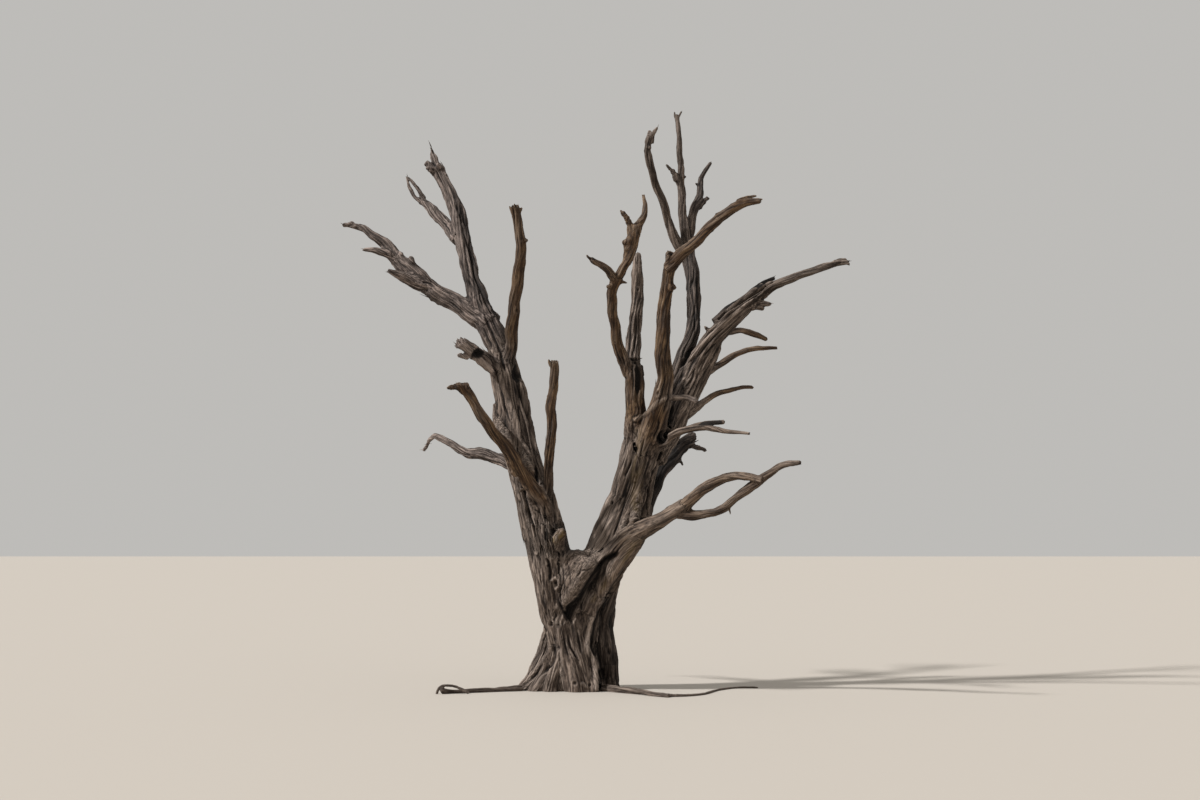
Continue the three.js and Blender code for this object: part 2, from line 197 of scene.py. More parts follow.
# x and z where the spur leaves its limb, x and z of its tip, its width at both, and how far back
# its tip leans
spurs = [
    # the crotch's stub
    (-398, 1548, -226, 1782, 176, 108, -100),
    # the left boughs
    (-1060, 2960, -1110, 3080, 44, 18, -40), (-1345, 3425, -1322, 3478, 90, 70, 0),
    (-1450, 3450, -1570, 3425, 78, 28, -20), (-350, 3700, -322, 3775, 60, 40, 20),
    (-375, 3690, -398, 3765, 60, 34, -30), (-1400, 3975, -1455, 3992, 60, 34, 20),
    (-1360, 3812, -1440, 3828, 50, 26, 0), (-1780, 2790, -1826, 2704, 64, 40, 0),
    (-640, 2330, -720, 2250, 60, 26, 40),
    # the left crown
    (-1660, 5985, -1738, 6165, 84, 34, 60), (-1745, 5985, -1824, 6010, 90, 50, -30),
    (-1700, 5960, -1700, 6060, 70, 30, -40), (-2680, 5335, -2804, 5337, 74, 46, 0),
    (-2630, 5310, -2718, 5290, 60, 22, 10), (-2380, 5130, -2452, 5205, 54, 22, 20),
    (-2130, 4920, -2116, 5012, 96, 56, 30), (-1980, 4870, -1992, 4945, 90, 56, 20),
    (-2170, 4780, -2225, 4760, 50, 24, 20), (-795, 5450, -790, 5590, 70, 30, -30),
    (-820, 5460, -860, 5528, 60, 36, 0), (-770, 5430, -730, 5530, 54, 32, 40),
    (-735, 5140, -668, 5148, 80, 44, 0),
    # the inner right boughs
    (420, 4660, 504, 4650, 64, 20, -20), (345, 4640, 276, 4600, 70, 34, -20),
    (600, 3740, 690, 3780, 60, 26, 30), (80, 4940, 36, 4985, 46, 22, 0),
    (460, 5470, 425, 5500, 50, 26, 0), (530, 5130, 448, 5128, 110, 66, 0),
    (520, 5050, 470, 5040, 80, 44, -30), (590, 4960, 642, 4994, 50, 20, 0),
    (640, 4900, 652, 5010, 60, 26, 20), (1000, 4920, 968, 5012, 56, 22, 0),
    (1030, 4890, 1052, 4982, 56, 24, 0), (985, 4600, 1050, 4595, 120, 76, 0),
    (1010, 4830, 966, 5030, 90, 26, -50), (1040, 4860, 1056, 4990, 70, 28, -50),
    # the middle bough's arm, split at its end
    (1790, 5590, 2002, 5672, 70, 24, -20), (1560, 5410, 1530, 5480, 80, 40, 0),
    (1990, 5600, 2066, 5636, 50, 22, 40), (1440, 5270, 1502, 5262, 60, 24, 0),
    # the top prongs
    (760, 6230, 774, 6440, 90, 44, 0), (790, 6300, 858, 6480, 76, 26, 20),
    (1098, 6560, 1066, 6668, 52, 26, 0), (1100, 6560, 1148, 6668, 52, 26, 0),
    (1130, 5890, 1192, 5893, 84, 36, 0), (1080, 5860, 1030, 5900, 70, 44, 0),
    (1400, 5590, 1444, 5654, 70, 28, 0), (1345, 5800, 1310, 5830, 50, 26, 0),
    # the far right bough
    (2900, 4878, 3040, 4905, 90, 70, 0), (2990, 4893, 3088, 4874, 74, 40, 0),
    (2160, 4690, 2220, 4718, 40, 16, 0), (1935, 4370, 2080, 4348, 110, 48, 20),
    (1450, 4095, 1395, 4150, 64, 28, 0),
    # the low boughs and the rear one
    (1640, 2070, 1668, 1985, 50, 22, 0), (1215, 2765, 1416, 2708, 90, 26, 0),
    (1311, 2960, 1612, 3052, 62, 52, 0), (1090, 2600, 1130, 2545, 64, 30, 20),
]
spurLook = {
    "rootMm": 30,               # how deep a spur starts in its limb
    "bendShare": 0.07,
    "radiusMm": 20,
    "asideRadii": (1.45, 2.1),  # skin this far off a limb's middle line, or
    "beyondRadii": (0.5, 1.1),  # this far past its end, is a spur's
}

# thin roots that run on from the thick ones: x, z and width, and how far back where they don't lie
# on the ground
thinRoots = [
    [
        (880, -58, 60, -850), (960, -70, 52, -900), (1010, -76, 48), (1123, -76, 44), (1240, -68, 40),
        (1361, -55, 38), (1450, -28, 36), (1540, -4, 34), (1719, 20, 32), (1860, 24, 30), (1981, 20, 28),
    ],
    [
        (-1290, -30, 44, -500), (-1360, 2, 40, -500), (-1430, 36, 36, -500), (-1507, 52, 34, -500),
        (-1580, 52, 32, -500), (-1625, 36, 32, -500), (-1650, 4, 32, -500), (-1662, -60, 32, -500),
    ],
]

# strands of trunk wood that stand out from the limbs they run over: how deep the strand's middle
# lies, as a share of its width; whether it is on the tree's back, and whether it goes on into the
# ground; its line, as x, z and width
strands = [
    # from the low bough down the right side of the trunk, a sharp rib lower down
    (0.33, "foot", [(640, 1720, 160), (520, 1560, 185), (405, 1400, 190), (290, 1235, 180),
        (185, 1075, 160), (95, 900, 140), (45, 775, 120), (30, 635, 100), (15, 493, 95), (45, 403, 100),
        (105, 287, 105), (110, 133, 125), (120, 20, 145)]),
    # the left stem's outer strand, which winds across the front to the middle of the foot
    (0.38, "foot", [(-560, 1900, 200), (-500, 1600, 230), (-430, 1300, 240), (-375, 1000, 240),
        (-300, 760, 230), (-205, 520, 210), (-120, 300, 220), (-70, 100, 240)]),
    # the plate of the right stem, which ends in a point over the hollow
    (0.44, "", [(-215, 905, 80), (-150, 1050, 160), (-70, 1220, 220), (20, 1370, 240), (140, 1500, 230),
        (270, 1700, 230), (380, 1920, 230), (460, 2150, 200)]),
    # the outer left leg
    (0.36, "foot", [(-360, 900, 110), (-335, 640, 120), (-350, 450, 115), (-445, 280, 115),
        (-605, 110, 105)]),
    # the inner left leg
    (0.3, "foot", [(-290, 560, 90), (-285, 400, 100), (-320, 250, 120), (-375, 90, 130)]),
    # the left stem's strands, wound round each other
    (0.3, "", [(-470, 1620, 120), (-540, 1900, 130), (-590, 2150, 130), (-610, 2420, 120),
        (-690, 2750, 110), (-800, 3050, 110), (-890, 3350, 100), (-930, 3600, 90)]),
    (0.3, "", [(-480, 2350, 90), (-560, 2650, 100), (-640, 2950, 100), (-740, 3300, 90)]),
    (0.36, "", [(-1000, 3250, 110), (-960, 3000, 140), (-860, 2700, 150), (-760, 2450, 130)]),
    # the right stem's strands
    (0.38, "", [(420, 1730, 80), (490, 1900, 110), (535, 2100, 130), (560, 2350, 150), (560, 2700, 150),
        (530, 3050, 120)]),
    (0.3, "", [(560, 1800, 110), (620, 2150, 130), (640, 2500, 130), (690, 2850, 120), (790, 3150, 100)]),
    # the back of the trunk and stems
    (0.36, "behind foot", [(60, 100, 260), (20, 500, 220), (-60, 900, 240), (-200, 1300, 240),
        (-380, 1700, 200)]),
    (0.34, "behind foot", [(-260, 120, 200), (-240, 500, 170), (-260, 900, 180), (-330, 1300, 180)]),
    (0.36, "behind foot", [(330, 150, 150), (270, 600, 140), (300, 1050, 160), (330, 1400, 200),
        (360, 1800, 200)]),
    (0.33, "behind", [(-450, 1700, 150), (-640, 2200, 150), (-700, 2700, 140), (-820, 3300, 120)]),
    (0.33, "behind", [(350, 1700, 170), (520, 2200, 170), (700, 2700, 160), (900, 3300, 150),
        (1100, 3900, 120)]),
]
tubeSides = 10
tubeEndShare = 0.3    # a tube's ends stand out by this share of its width
rootRiseShare = 0.15  # a thin root's middle lies this share of its width above the ground
footSpread = 1.1      # a strand's foot is this much wider below the ground


def tube(line, widths):
    # a closed tube through some points, with a width at each
    headings = unit(np.gradient(line, axis=0))
    side = unit(np.cross(headings[0], [0.3, 0.8, 0.5]))
    points = [
        line[0] - headings[0] * widths[0] * tubeEndShare,
        line[-1] + headings[-1] * widths[-1] * tubeEndShare,
    ]
    faces = []
    for spot, heading, width in zip(line, headings, widths):
        side = unit(side - heading * (side @ heading))
        other = np.cross(heading, side)
        for k in range(tubeSides):
            angle = 2 * math.pi * k / tubeSides
            points.append(spot + (side * math.cos(angle) + other * math.sin(angle)) * width / 2)
    top = 2 + (len(line) - 1) * tubeSides
    for k in range(tubeSides):
        after = (k + 1) % tubeSides
        for low in range(2, top, tubeSides):
            high = low + tubeSides
            faces.append((low + k, low + after, high + after))
            faces.append((low + k, high + after, high + k))
        faces.append((0, 2 + after, 2 + k))
        faces.append((1, top + k, top + after))
    return np.array(points), np.array(faces)


def spurTube(x, z, tipX, tipZ, first, last, lean):
    root = castOnTree(x, z)
    if root is None:
        return None
    root = root + unit(root - eyePoint) * spurLook["rootMm"] * mm
    tip = seenPoint(tipX, tipZ, root[1] + lean * mm)
    aside = np.cross(tip - root, [0, 1, 0]) * spurLook["bendShare"]
    line = np.array([root, root * 0.5 + tip * 0.5 + aside, tip])
    return tube(line, np.array([first, first * 0.45 + last * 0.55, last]) * mm)


def rootTube(root):
    spots = []
    for x, z, wide, *back in root:
        if back:
            spots.append(seenPoint(x, z, back[0] * mm))
        else:
            sight = seenPoint(x, z) - eyePoint
            spots.append(eyePoint + sight * eye["height"] / (eye["height"] - z * mm))
            spots[-1][2] += wide * mm * rootRiseShare
    line = smoothLine(np.array(spots))
    widths = [point[2] * mm for point in root]
    return tube(line, np.interp(placesAlong(line), placesAlong(np.array(spots)), widths))


def strandTube(sunk, where, course):
    behind = "behind" in where
    spots = []
    widths = []
    for x, z, wide in course:
        hit = castOnTree(x, z, behind)
        if hit is not None:
            inwards = unit(hit - eyePoint) * (-1 if behind else 1)
            spots.append(hit + inwards * sunk * wide * mm)
            widths.append(wide * mm)
    if len(spots) < 3:
        return None
    if "foot" in where:
        last = -1 if spots[-1][2] < spots[0][2] else 0
        spot = spots[last] + [0, 0, -spots[last][2] - skinLook["footDropMm"] * mm]
        spots.insert(len(spots) if last else 0, spot)
        widths.insert(len(widths) if last else 0, widths[last] * footSpread)
    line = smoothLine(np.array(spots))
    share = np.linspace(0, 1, len(line))
    return tube(line, np.interp(share, placesAlong(np.array(spots)), widths))


# one fused skin over all limbs

skinLook = {
    "voxelMm": 8.5,  # the skin's mesh size
    "footDropMm": 80,       # the foot goes this far below ground until it is cut flat
    "roundShare": 0.24,     # rounding, as a share of a limb's radius
    "roundMostMm": 40,
    "roundSteps": 50,
    "backSteps": 40,        # what rounding takes off a limb is given back, averaged over these steps
    "searchEvery": 4,       # one point in so many looks for its limb, the others ask their neighbours
    "borderMm": 112,        # so far on both sides of a border the two limbs' grains flow together
}
chunkSize = 20000           # points that are measured at a time, to save memory


def fuseLimbs():
    points = solidPoints.copy()
    points[points[:, 2] < 1e-5, 2] -= skinLook["footDropMm"] * mm
    allPoints = [points]
    allFaces = [solidFaces]
    count = len(points)
    tubes = [spurTube(*spur) for spur in spurs] + [strandTube(*strand) for strand in strands]
    for made in tubes + [rootTube(root) for root in thinRoots]:
        if made is None:
            print("a spur or strand finds no wood")
            continue
        allPoints.append(made[0])
        allFaces.append(made[1] + count)
        count += len(made[0])
    mesh = bpy.data.meshes.new("fusedLimbs")
    mesh.from_pydata(np.concatenate(allPoints).tolist(), [], np.concatenate(allFaces).tolist())
    obj = addObject("fusedLimbs", mesh)
    remesh = obj.modifiers.new("fuse", "REMESH")
    remesh.mode = "VOXEL"
    remesh.voxel_size = skinLook["voxelMm"] * mm
    remesh.adaptivity = 0
    fused = modifiedMesh(obj)
    skinPoints = numbersOf(fused.vertices, "co", np.float32, 3)
    sides = numbersOf(fused.polygons, "loop_total", np.int32)
    corners = numbersOf(fused.loops, "vertex_index", np.int32)
    edges = numbersOf(fused.edges, "vertices", np.int32, 2)
    if (sides != 4).any():
        raise ValueError("the fused skin should be all quads")
    bpy.data.meshes.remove(mesh)
    bpy.data.meshes.remove(fused)
    return skinPoints, corners.reshape(-1, 4), edges


class SkinGraph:
    # which skin points neighbour which, for averaging and spreading over the skin
    def __init__(self, edges, count):
        both = np.concatenate([edges, edges[:, ::-1]])
        both = both[np.argsort(both[:, 0], kind="stable")]
        self.to = both[:, 1]
        self.mine = both[:, 0]
        self.valence = np.bincount(both[:, 0], minlength=count)
        self.first = np.concatenate([[0], np.cumsum(self.valence)[:-1]])

    def average(self, values):
        sums = np.add.reduceat(values[self.to], self.first)
        share = self.valence if values.ndim == 1 else self.valence[:, None]
        return sums / share

    def smooth(self, values, steps, strength=0.8):
        for _ in range(steps):
            values = values + strength * (self.average(values) - values)
        return values

    def partsOf(self, label):
        # a number for each patch of points that hang together and share a label
        part = np.arange(len(label))
        same = label[self.mine] == label[self.to]
        while True:
            offered = np.where(same, part[self.to], len(label))
            lower = np.minimum(part, np.minimum.reduceat(offered, self.first))
            lower = lower[lower]
            if (lower == part).all():
                return part
            part = lower


def largestOf(part):
    names, sizes = np.unique(part, return_counts=True)
    return part == names[sizes.argmax()]


def keepLargest(points, quads, edges):
    graph = SkinGraph(edges, len(points))
    keep = largestOf(graph.partsOf(np.zeros(len(points), int)))
    if keep.all():
        return points, quads, graph
    place = np.cumsum(keep) - 1
    quads = place[quads[keep[quads[:, 0]]]]
    edges = place[edges[keep[edges[:, 0]]]]
    return points[keep], quads, SkinGraph(edges, int(keep.sum()))


def normalsOf(points, quads):
    across = points[quads[:, 2]] - points[quads[:, 0]]
    other = points[quads[:, 3]] - points[quads[:, 1]]
    faceNormals = np.cross(across, other)
    total = np.zeros((len(points), 3))
    for corner in range(4):
        for axis in range(3):
            total[:, axis] += np.bincount(quads[:, corner], faceNormals[:, axis], len(points))
    return unit(total)


skin, quads, skinEdges = fuseLimbs()
skin, quads, graph = keepLargest(skin.astype(float), quads, skinEdges)
report(f"fused the limbs: {len(skin)} points")


def nearestNodes(points):
    owner = np.full(len(points), -1)
    find = solidTree.find_nearest
    for index in range(0, len(points), skinLook["searchEvery"]):
        owner[index] = solidOwner[find(points[index])[2]]
    return owner


def fillOwners(owner):
    while (owner < 0).any():
        offered = np.maximum.reduceat(owner[graph.to], graph.first)
        owner = np.where(owner < 0, offered, owner)
    return owner


def tidyOwners(owner):
    # each limb keeps its largest patch, and stray patches go to the limbs around them
    part = graph.partsOf(owner)
    owner = owner.copy()
    for index in range(len(nodeNames)):
        mine = np.flatnonzero(owner == index)
        if len(mine):
            owner[mine[~largestOf(part[mine])]] = -1
    return fillOwners(owner)


def overSkin(valueOf):
    # for each skin point its limb's value, which comes from the limb's name
    return np.array([valueOf(name) for name in nodeNames])[ownerOf]


ownerOf = tidyOwners(fillOwners(nearestNodes(skin)))
skinTree = KDTree(len(skin))
for index, point in enumerate(skin.tolist()):
    skinTree.insert(point, index)
skinTree.balance()
report("found each point's limb")


# the middle lines that the grain follows

grainLines = {
    "samplesPerLimb": 2400,
    "grainAngleDeg": 5,  # how far the grain winds off a limb's own direction
    "seed": 7,
    "tipClear": 0.11,    # a limb's end this far from all other limbs is a tip, in metres
    "tipHeight": 0.3,    # but not this close to the ground
}
middleLook = {
    "points": (4, 11),  # the fewest and most points of a middle line
    "thinnest": 0.1,    # they are laid out as for a limb at least this thick, in metres
    "rounds": 14,
    "spread": 0.55,     # each is the middle of the wood this far along, in steps between points
    "densePoints": 80,
    "endReach": 0.35,   # the limb's end is looked for this close to the line's, in metres
    "leastEnd": 0.01,
}

# The trunk is many fused strands, so its grain follows lines listed on the front view: how far
# behind the front plane the line lies, at its foot and top; its width, at its foot and top; the line
trunkStrands = [
    (-60, 0, 460, 470, [(20, -100), (-60, 250), (-170, 560), (-255, 930), (-330, 1250), (-400, 1560)]),
    (200, 150, 620, 440, [(-60, -100), (-110, 400), (-140, 900), (-190, 1350), (-200, 1560)]),
    (-110, 40, 260, 400, [(170, -100), (50, 330), (10, 620), (50, 950), (140, 1200), (250, 1400),
        (390, 1640)]),
    (-140, -60, 300, 480, [(-240, 830), (-130, 1200), (40, 1490), (250, 1750)]),
    (60, 60, 420, 260, [(-70, 900), (-80, 1200), (-50, 1560)]),
    (-50, -20, 110, 240, [(-830, -40), (-590, 90), (-430, 360), (-330, 700), (-340, 900)]),
    (-220, -60, 150, 200, [(-660, -100), (-480, 90), (-360, 330), (-270, 640)]),
    (-250, -120, 200, 180, [(-400, -100), (-330, 210), (-260, 520)]),
    (330, 160, 260, 280, [(-560, -100), (-380, 200), (-260, 600), (-240, 900)]),
]


def trianglesOf(index):
    # the corners of a limb's triangles, and their areas
    faces = solidFaces[solidOwner == index]
    a, b, c = (solidPoints[faces[:, corner]] for corner in range(3))
    return a, b, c, np.linalg.norm(np.cross(b - a, c - a), axis=1) / 2


def surfaceSamples(index, rng):
    a, b, c, area = trianglesOf(index)
    chosen = rng.choice(len(area), grainLines["samplesPerLimb"], p=area / area.sum())
    root = np.sqrt(rng.random(len(chosen)))[:, None]
    share = rng.random(len(chosen))[:, None]
    return (1 - root) * a[chosen] + root * (1 - share) * b[chosen] + root * share * c[chosen]


def middleLine(samples):
    # a line through the middle of a limb, from points on its surface
    centred = samples - samples.mean(0)
    axis = np.linalg.svd(centred, full_matrices=False)[2][0]
    t = centred @ axis
    length = np.ptp(t)
    thick = 2 * np.sqrt(((centred - np.outer(t, axis)) ** 2).sum(1).mean())
    wanted = round(length / max(thick, middleLook["thinnest"])) + 2
    count = int(np.clip(wanted, *middleLook["points"]))
    t = (t - t.min()) / length
    grid = np.linspace(0, 1, count)
    for _ in range(middleLook["rounds"]):
        weight = np.exp(-0.5 * ((t[:, None] - grid) * (count - 1) / middleLook["spread"]) ** 2)
        line = (weight.T @ samples) / weight.sum(0)[:, None]
        dense = resample(line, middleLook["densePoints"])
        gap = ((samples[:, None, :] - dense) ** 2).sum(2)
        t = gap.argmin(1) / (len(dense) - 1)
    ends = []
    for end, before in ((dense[0], dense[4]), (dense[-1], dense[-5])):
        heading = unit(end - before)
        close = np.linalg.norm(samples - end, axis=1) < middleLook["endReach"]
        beyond = ((samples - end) @ heading)[close]
        ends.append(end + heading * float(beyond.max(initial=middleLook["leastEnd"])))
    return np.vstack([ends[0], line[1:-1] if count > middleLook["points"][0] else line, ends[1]])


def guideAlong(line, radius):
    # the line with a frame that is carried along it, and the grain's winding
    tangents = unit(np.gradient(line, axis=0))
    side = unit(np.cross(tangents[0], [0.2, 0.9, 0.3]))
    sides = []
    for tangent in tangents:
        side = unit(side - tangent * (side @ tangent))
        sides.append(side)
    place = np.concatenate([[0], np.cumsum(stepsOf(line))])
    winding = np.tan(math.radians(grainLines["grainAngleDeg"])) / np.maximum(radius, 0.05)
    turn = np.concatenate([[0], np.cumsum(winding[1:] * np.diff(place))])
    sides = np.array(sides)
    others = np.cross(tangents, sides)
    return {
        "points": line, "tangents": tangents, "sides": sides, "others": others,
        "place": place, "radius": radius, "turn": turn,
    }


def radiusAlong(line, samples):
    nearest = ((samples[:, None, :] - line) ** 2).sum(2).argmin(1)
    gap = np.linalg.norm(samples - line[nearest], axis=1)
    filled = np.bincount(nearest, minlength=len(line)) > 0
    total = np.bincount(nearest, gap, minlength=len(line))
    mean = total / np.maximum(np.bincount(nearest, minlength=len(line)), 1)
    mean = np.interp(np.arange(len(line)), np.flatnonzero(filled), mean[filled])
    window = min(7, len(line) // 2 * 2 - 1)
    padded = np.pad(mean, window // 2, mode="edge")
    return np.convolve(padded, np.ones(window) / window, "valid")


def layGuides(samples):
    guides = []
    for index, name in enumerate(nodeNames):
        if name == "trunk":
            for footBack, topBack, footThick, topThick, course in trunkStrands:
                backs = np.linspace(footBack, topBack, len(course)) * mm
                places = [seenPoint(x, z, back) for (x, z), back in zip(course, backs)]
                line = smoothLine(np.array(places))
                radius = np.linspace(footThick, topThick, len(line)) * mm / 2
                guides.append({**guideAlong(line, radius), "node": index, "tip": False})
            continue
        others = np.concatenate([found[::6] for k, found in enumerate(samples) if k != index])
        line = smoothLine(middleLine(samples[index]))
        clear = [np.linalg.norm(others - end, axis=1).min() for end in (line[0], line[-1])]
        if clear[0] > clear[1]:
            line = line[::-1]
        radius = radiusAlong(line, samples[index])
        isTip = max(clear) > grainLines["tipClear"] and line[-1][2] > grainLines["tipHeight"]
        guides.append({**guideAlong(line, radius), "node": index, "tip": isTip})
    return guides


limbRng = np.random.default_rng(grainLines["seed"])
limbSamples = [surfaceSamples(index, limbRng) for index in range(len(nodeNames))]
guides = layGuides(limbSamples)


def nearestGuides(points, owner):
    # the guide of each point: the limb's own, or on the trunk the nearest strand for its size
    label = np.empty(len(points), int)
    for index, name in enumerate(nodeNames):
        mine = np.flatnonzero(owner == index)
        choices = [k for k, guide in enumerate(guides) if guide["node"] == index]
        best = np.full(len(mine), np.inf)
        label[mine] = choices[0]
        if len(choices) == 1:
            continue
        for k in choices:
            gap = np.full(len(mine), np.inf)
            for point, radius in zip(guides[k]["points"][::2], guides[k]["radius"][::2]):
                gap = np.minimum(gap, np.linalg.norm(points[mine] - point, axis=1) / radius)
            nearer = gap < best
            best[nearer] = gap[nearer]
            label[mine[nearer]] = k
    return label


guideOf = nearestGuides(skin, ownerOf)
report("laid the grain lines")


def spreadLabels(label, rounds):
    # for each point the nearest other label over the skin, and how many steps off it is
    other = np.full(len(label), -1)
    steps = np.full(len(label), rounds + 1)
    mine = label[graph.mine]
    theirs = label[graph.to]
    offered = np.where(theirs != mine, theirs, -1)
    for k in range(rounds + 1):
        best = np.maximum.reduceat(offered, graph.first)
        fresh = (other < 0) & (best >= 0)
        other[fresh] = best[fresh]
        steps[fresh] = k
        offered = np.where((theirs == mine) & (steps[graph.to] == k), other[graph.to], -1)
    return other, steps


def alongGuide(points, index):
    # place along the guide, offsets across it turned with the grain, the grain's heading, radius
    guide = guides[index]
    nearest = np.empty(len(points), int)
    for start in range(0, len(points), chunkSize):
        part = points[start:start + chunkSize]
        gap = (part ** 2).sum(1)[:, None] - 2 * part @ guide["points"].T + (guide["points"] ** 2).sum(1)
        nearest[start:start + chunkSize] = gap.argmin(1)
    there = {name: values[nearest] for name, values in guide.items() if np.ndim(values)}
    offset = points - there["points"]
    ahead = (offset * there["tangents"]).sum(1)
    across = (offset * there["sides"]).sum(1)
    over = (offset * there["others"]).sum(1)
    winding = np.gradient(guide["turn"], guide["place"])[nearest]
    turn = there["turn"] + winding * ahead
    cosine = np.cos(turn)
    sine = np.sin(turn)
    turned = (across * cosine + over * sine, over * cosine - across * sine)
    around = over[:, None] * there["sides"] - across[:, None] * there["others"]
    grainHeading = unit(there["tangents"] - around * winding[:, None])
    return np.column_stack([*turned, there["place"] + ahead]), grainHeading, there["radius"]


# noise

gradientCount = 1024  # a power of two
gradients = unit(np.random.default_rng(11).normal(size=(gradientCount, 3))).astype(np.float32)
cellPrimes = (73856093, 19349663, 83492791)
seedPrime = 7919
# each use of the noise has its own seed, and limbs add their number to it
noiseSeeds = {"stain": 77, "crook": 300, "tip": 500, "patch": 900, "streak": 901}


def noiseAt(points, seed):
    # smooth noise, about -0.6 to 0.6, with one bump to each unit
    cell = np.floor(points)
    part = (points - cell).astype(np.float32)
    cell = cell.astype(np.int64)
    fade = part ** 3 * (part * (part * 6 - 15) + 10)
    total = np.zeros(len(points), np.float32)
    for corner in product((0, 1), repeat=3):
        key = 0
        share = 1
        for axis in range(3):
            key = key ^ (cell[:, axis] + corner[axis]) * cellPrimes[axis]
            share = share * (fade[:, axis] if corner[axis] else 1 - fade[:, axis])
        slope = gradients[(key + seed * seedPrime) & (gradientCount - 1)]
        total += share * (slope * (part - np.array(corner, np.float32))).sum(1)
    return total


def stretched(local, acrossMm, alongMm):
    return local / (np.array([acrossMm, acrossMm, alongMm]) * mm)


# rounding the facets

def roundFacets(points, radius):
    rounding = np.minimum(radius * skinLook["roundShare"], skinLook["roundMostMm"] * mm)
    size = skinLook["voxelMm"] * mm
    strength = np.clip(2 * (rounding / size) ** 2 / skinLook["roundSteps"], 0, 0.9)[:, None]
    rounded = points.copy()
    for _ in range(skinLook["roundSteps"]):
        rounded += strength * (graph.average(rounded) - rounded)
    normals = normalsOf(rounded, quads)
    lost = graph.smooth(((points - rounded) * normals).sum(1), skinLook["backSteps"])
    return rounded + normals * lost[:, None]


secondOf, borderSteps = spreadLabels(guideOf, int(skinLook["borderMm"] / skinLook["voxelMm"]))
local = np.zeros((len(skin), 3))
heading = np.zeros((len(skin), 3))
radiusOf = np.zeros(len(skin))
for index in range(len(guides)):
    mine = np.flatnonzero(guideOf == index)
    if len(mine):
        local[mine], heading[mine], radiusOf[mine] = alongGuide(skin[mine], index)


stoutLimbs = ("trunk", "rear_buttress", "left_stem", "right_stem", "crotch_stub")


def thinSpurs(radius):
    # spurs are far thinner than the limbs that they stand on
    aside = smoothStep(np.hypot(local[:, 0], local[:, 1]) / radius, *spurLook["asideRadii"])
    ends = np.array([guide["place"][-1] for guide in guides])[guideOf]
    beyond = smoothStep((local[:, 2] - ends) / radius, *spurLook["beyondRadii"])
    off = np.maximum(aside, beyond)
    off[overSkin(lambda name: name in stoutLimbs)] = 0
    return radius + (np.minimum(radius, spurLook["radiusMm"] * mm) - radius) * off


radiusOf = graph.smooth(thinSpurs(radiusOf), 20)
plainSkin = roundFacets(skin, radiusOf)
report("rounded the limbs")


# places given on the front view, and where they lie on the rounded skin

def denseCourse(course, stepMm=12):
    course = np.array(course, float)
    if len(course) == 1:
        return course
    return resample(course, max(int(lengthOf(course) / stepMm), 2))


def hitsAlong(course, surface=None):
    # where a course lies on the skin, and its points there, of which a third value may be a width
    points = denseCourse(course)
    surface = surface or plainSurface
    hits = [castOnTree(point[0], point[1], surface=surface) for point in points]
    there = [k for k, hit in enumerate(hits) if hit is not None]
    return np.array([hits[k] for k in there]), points[there]


def gapTo(hits, reach):
    # the skin points within reach of the hits, with their gap and the nearest hit
    low = hits.min(0) - reach
    high = hits.max(0) + reach
    inside = np.flatnonzero(((plainSkin > low) & (plainSkin < high)).all(1))
    gap = np.empty(len(inside))
    nearest = np.empty(len(inside), int)
    for start in range(0, len(inside), chunkSize):
        part = plainSkin[inside[start:start + chunkSize]]
        square = ((part[:, None, :] - hits) ** 2).sum(2)
        nearest[start:start + chunkSize] = square.argmin(1)
        gap[start:start + chunkSize] = np.sqrt(square.min(1))
    close = gap < reach
    return inside[close], gap[close], nearest[close]


def nearCourse(course, wide):
    # the skin points on both sides of a course, and how near they are, from 0 to 1
    index, gap, _ = gapTo(hitsAlong(course)[0], wide * mm / 2)
    return index, 1 - gap / (wide * mm / 2)


# where limbs flow into each other, rounded further: how far it reaches, the size of the rounding,
# how much lower the wood lies, and the course
softPlaces = [
    (240, 64, 44, [(-220, 1570), (-60, 1540), (60, 1560), (180, 1660)]),
    (170, 44, 0, [(-240, 1450), (-225, 1250), (-215, 1060)]),
    (200, 40, 0, [(60, 1500), (200, 1750), (320, 2000), (420, 2200)]),
    (150, 30, 0, [(560, 1650), (400, 1400), (240, 1150)]),
    (150, 40, 0, [(-1530, 5180), (-1500, 5080), (-1460, 4980)]),
]
# how strong each round of it is, how near the course it is at its full strength, as a share of its
# reach, and how many rounds there are for a rounding of one voxel
softLook = {"strength": 0.8, "fullFrom": 0.6, "rounds": 2.5}


def soften(reachMm, sizeMm, sinkMm, course):
    reach = reachMm * mm
    index, gap, _ = gapTo(hitsAlong(course, solidTree)[0], reach)
    gapOf = np.full(len(plainSkin), reach)
    gapOf[index] = gap
    inside = gapOf < reach
    chosen = inside[graph.mine] & inside[graph.to] & (graph.mine < graph.to)
    pairs = np.column_stack([graph.mine[chosen], graph.to[chosen]])
    used, pairs = np.unique(pairs, return_inverse=True)
    part = SkinGraph(pairs.reshape(-1, 2), len(used))
    near = smoothStep(1 - gapOf[used] / reach, 0, softLook["fullFrom"])
    strength = softLook["strength"] * near[:, None]
    points = plainSkin[used]
    for _ in range(int(softLook["rounds"] * (sizeMm / skinLook["voxelMm"]) ** 2)):
        points += strength * (part.average(points) - points)
    points[:, 2] -= strength[:, 0] * sinkMm * mm
    plainSkin[used] = points


for place in softPlaces:
    soften(*place)
plainSurface = BVHTree.FromPolygons(plainSkin.tolist(), quads.tolist())
report("softened the crotch")

# the relief of weathered wood

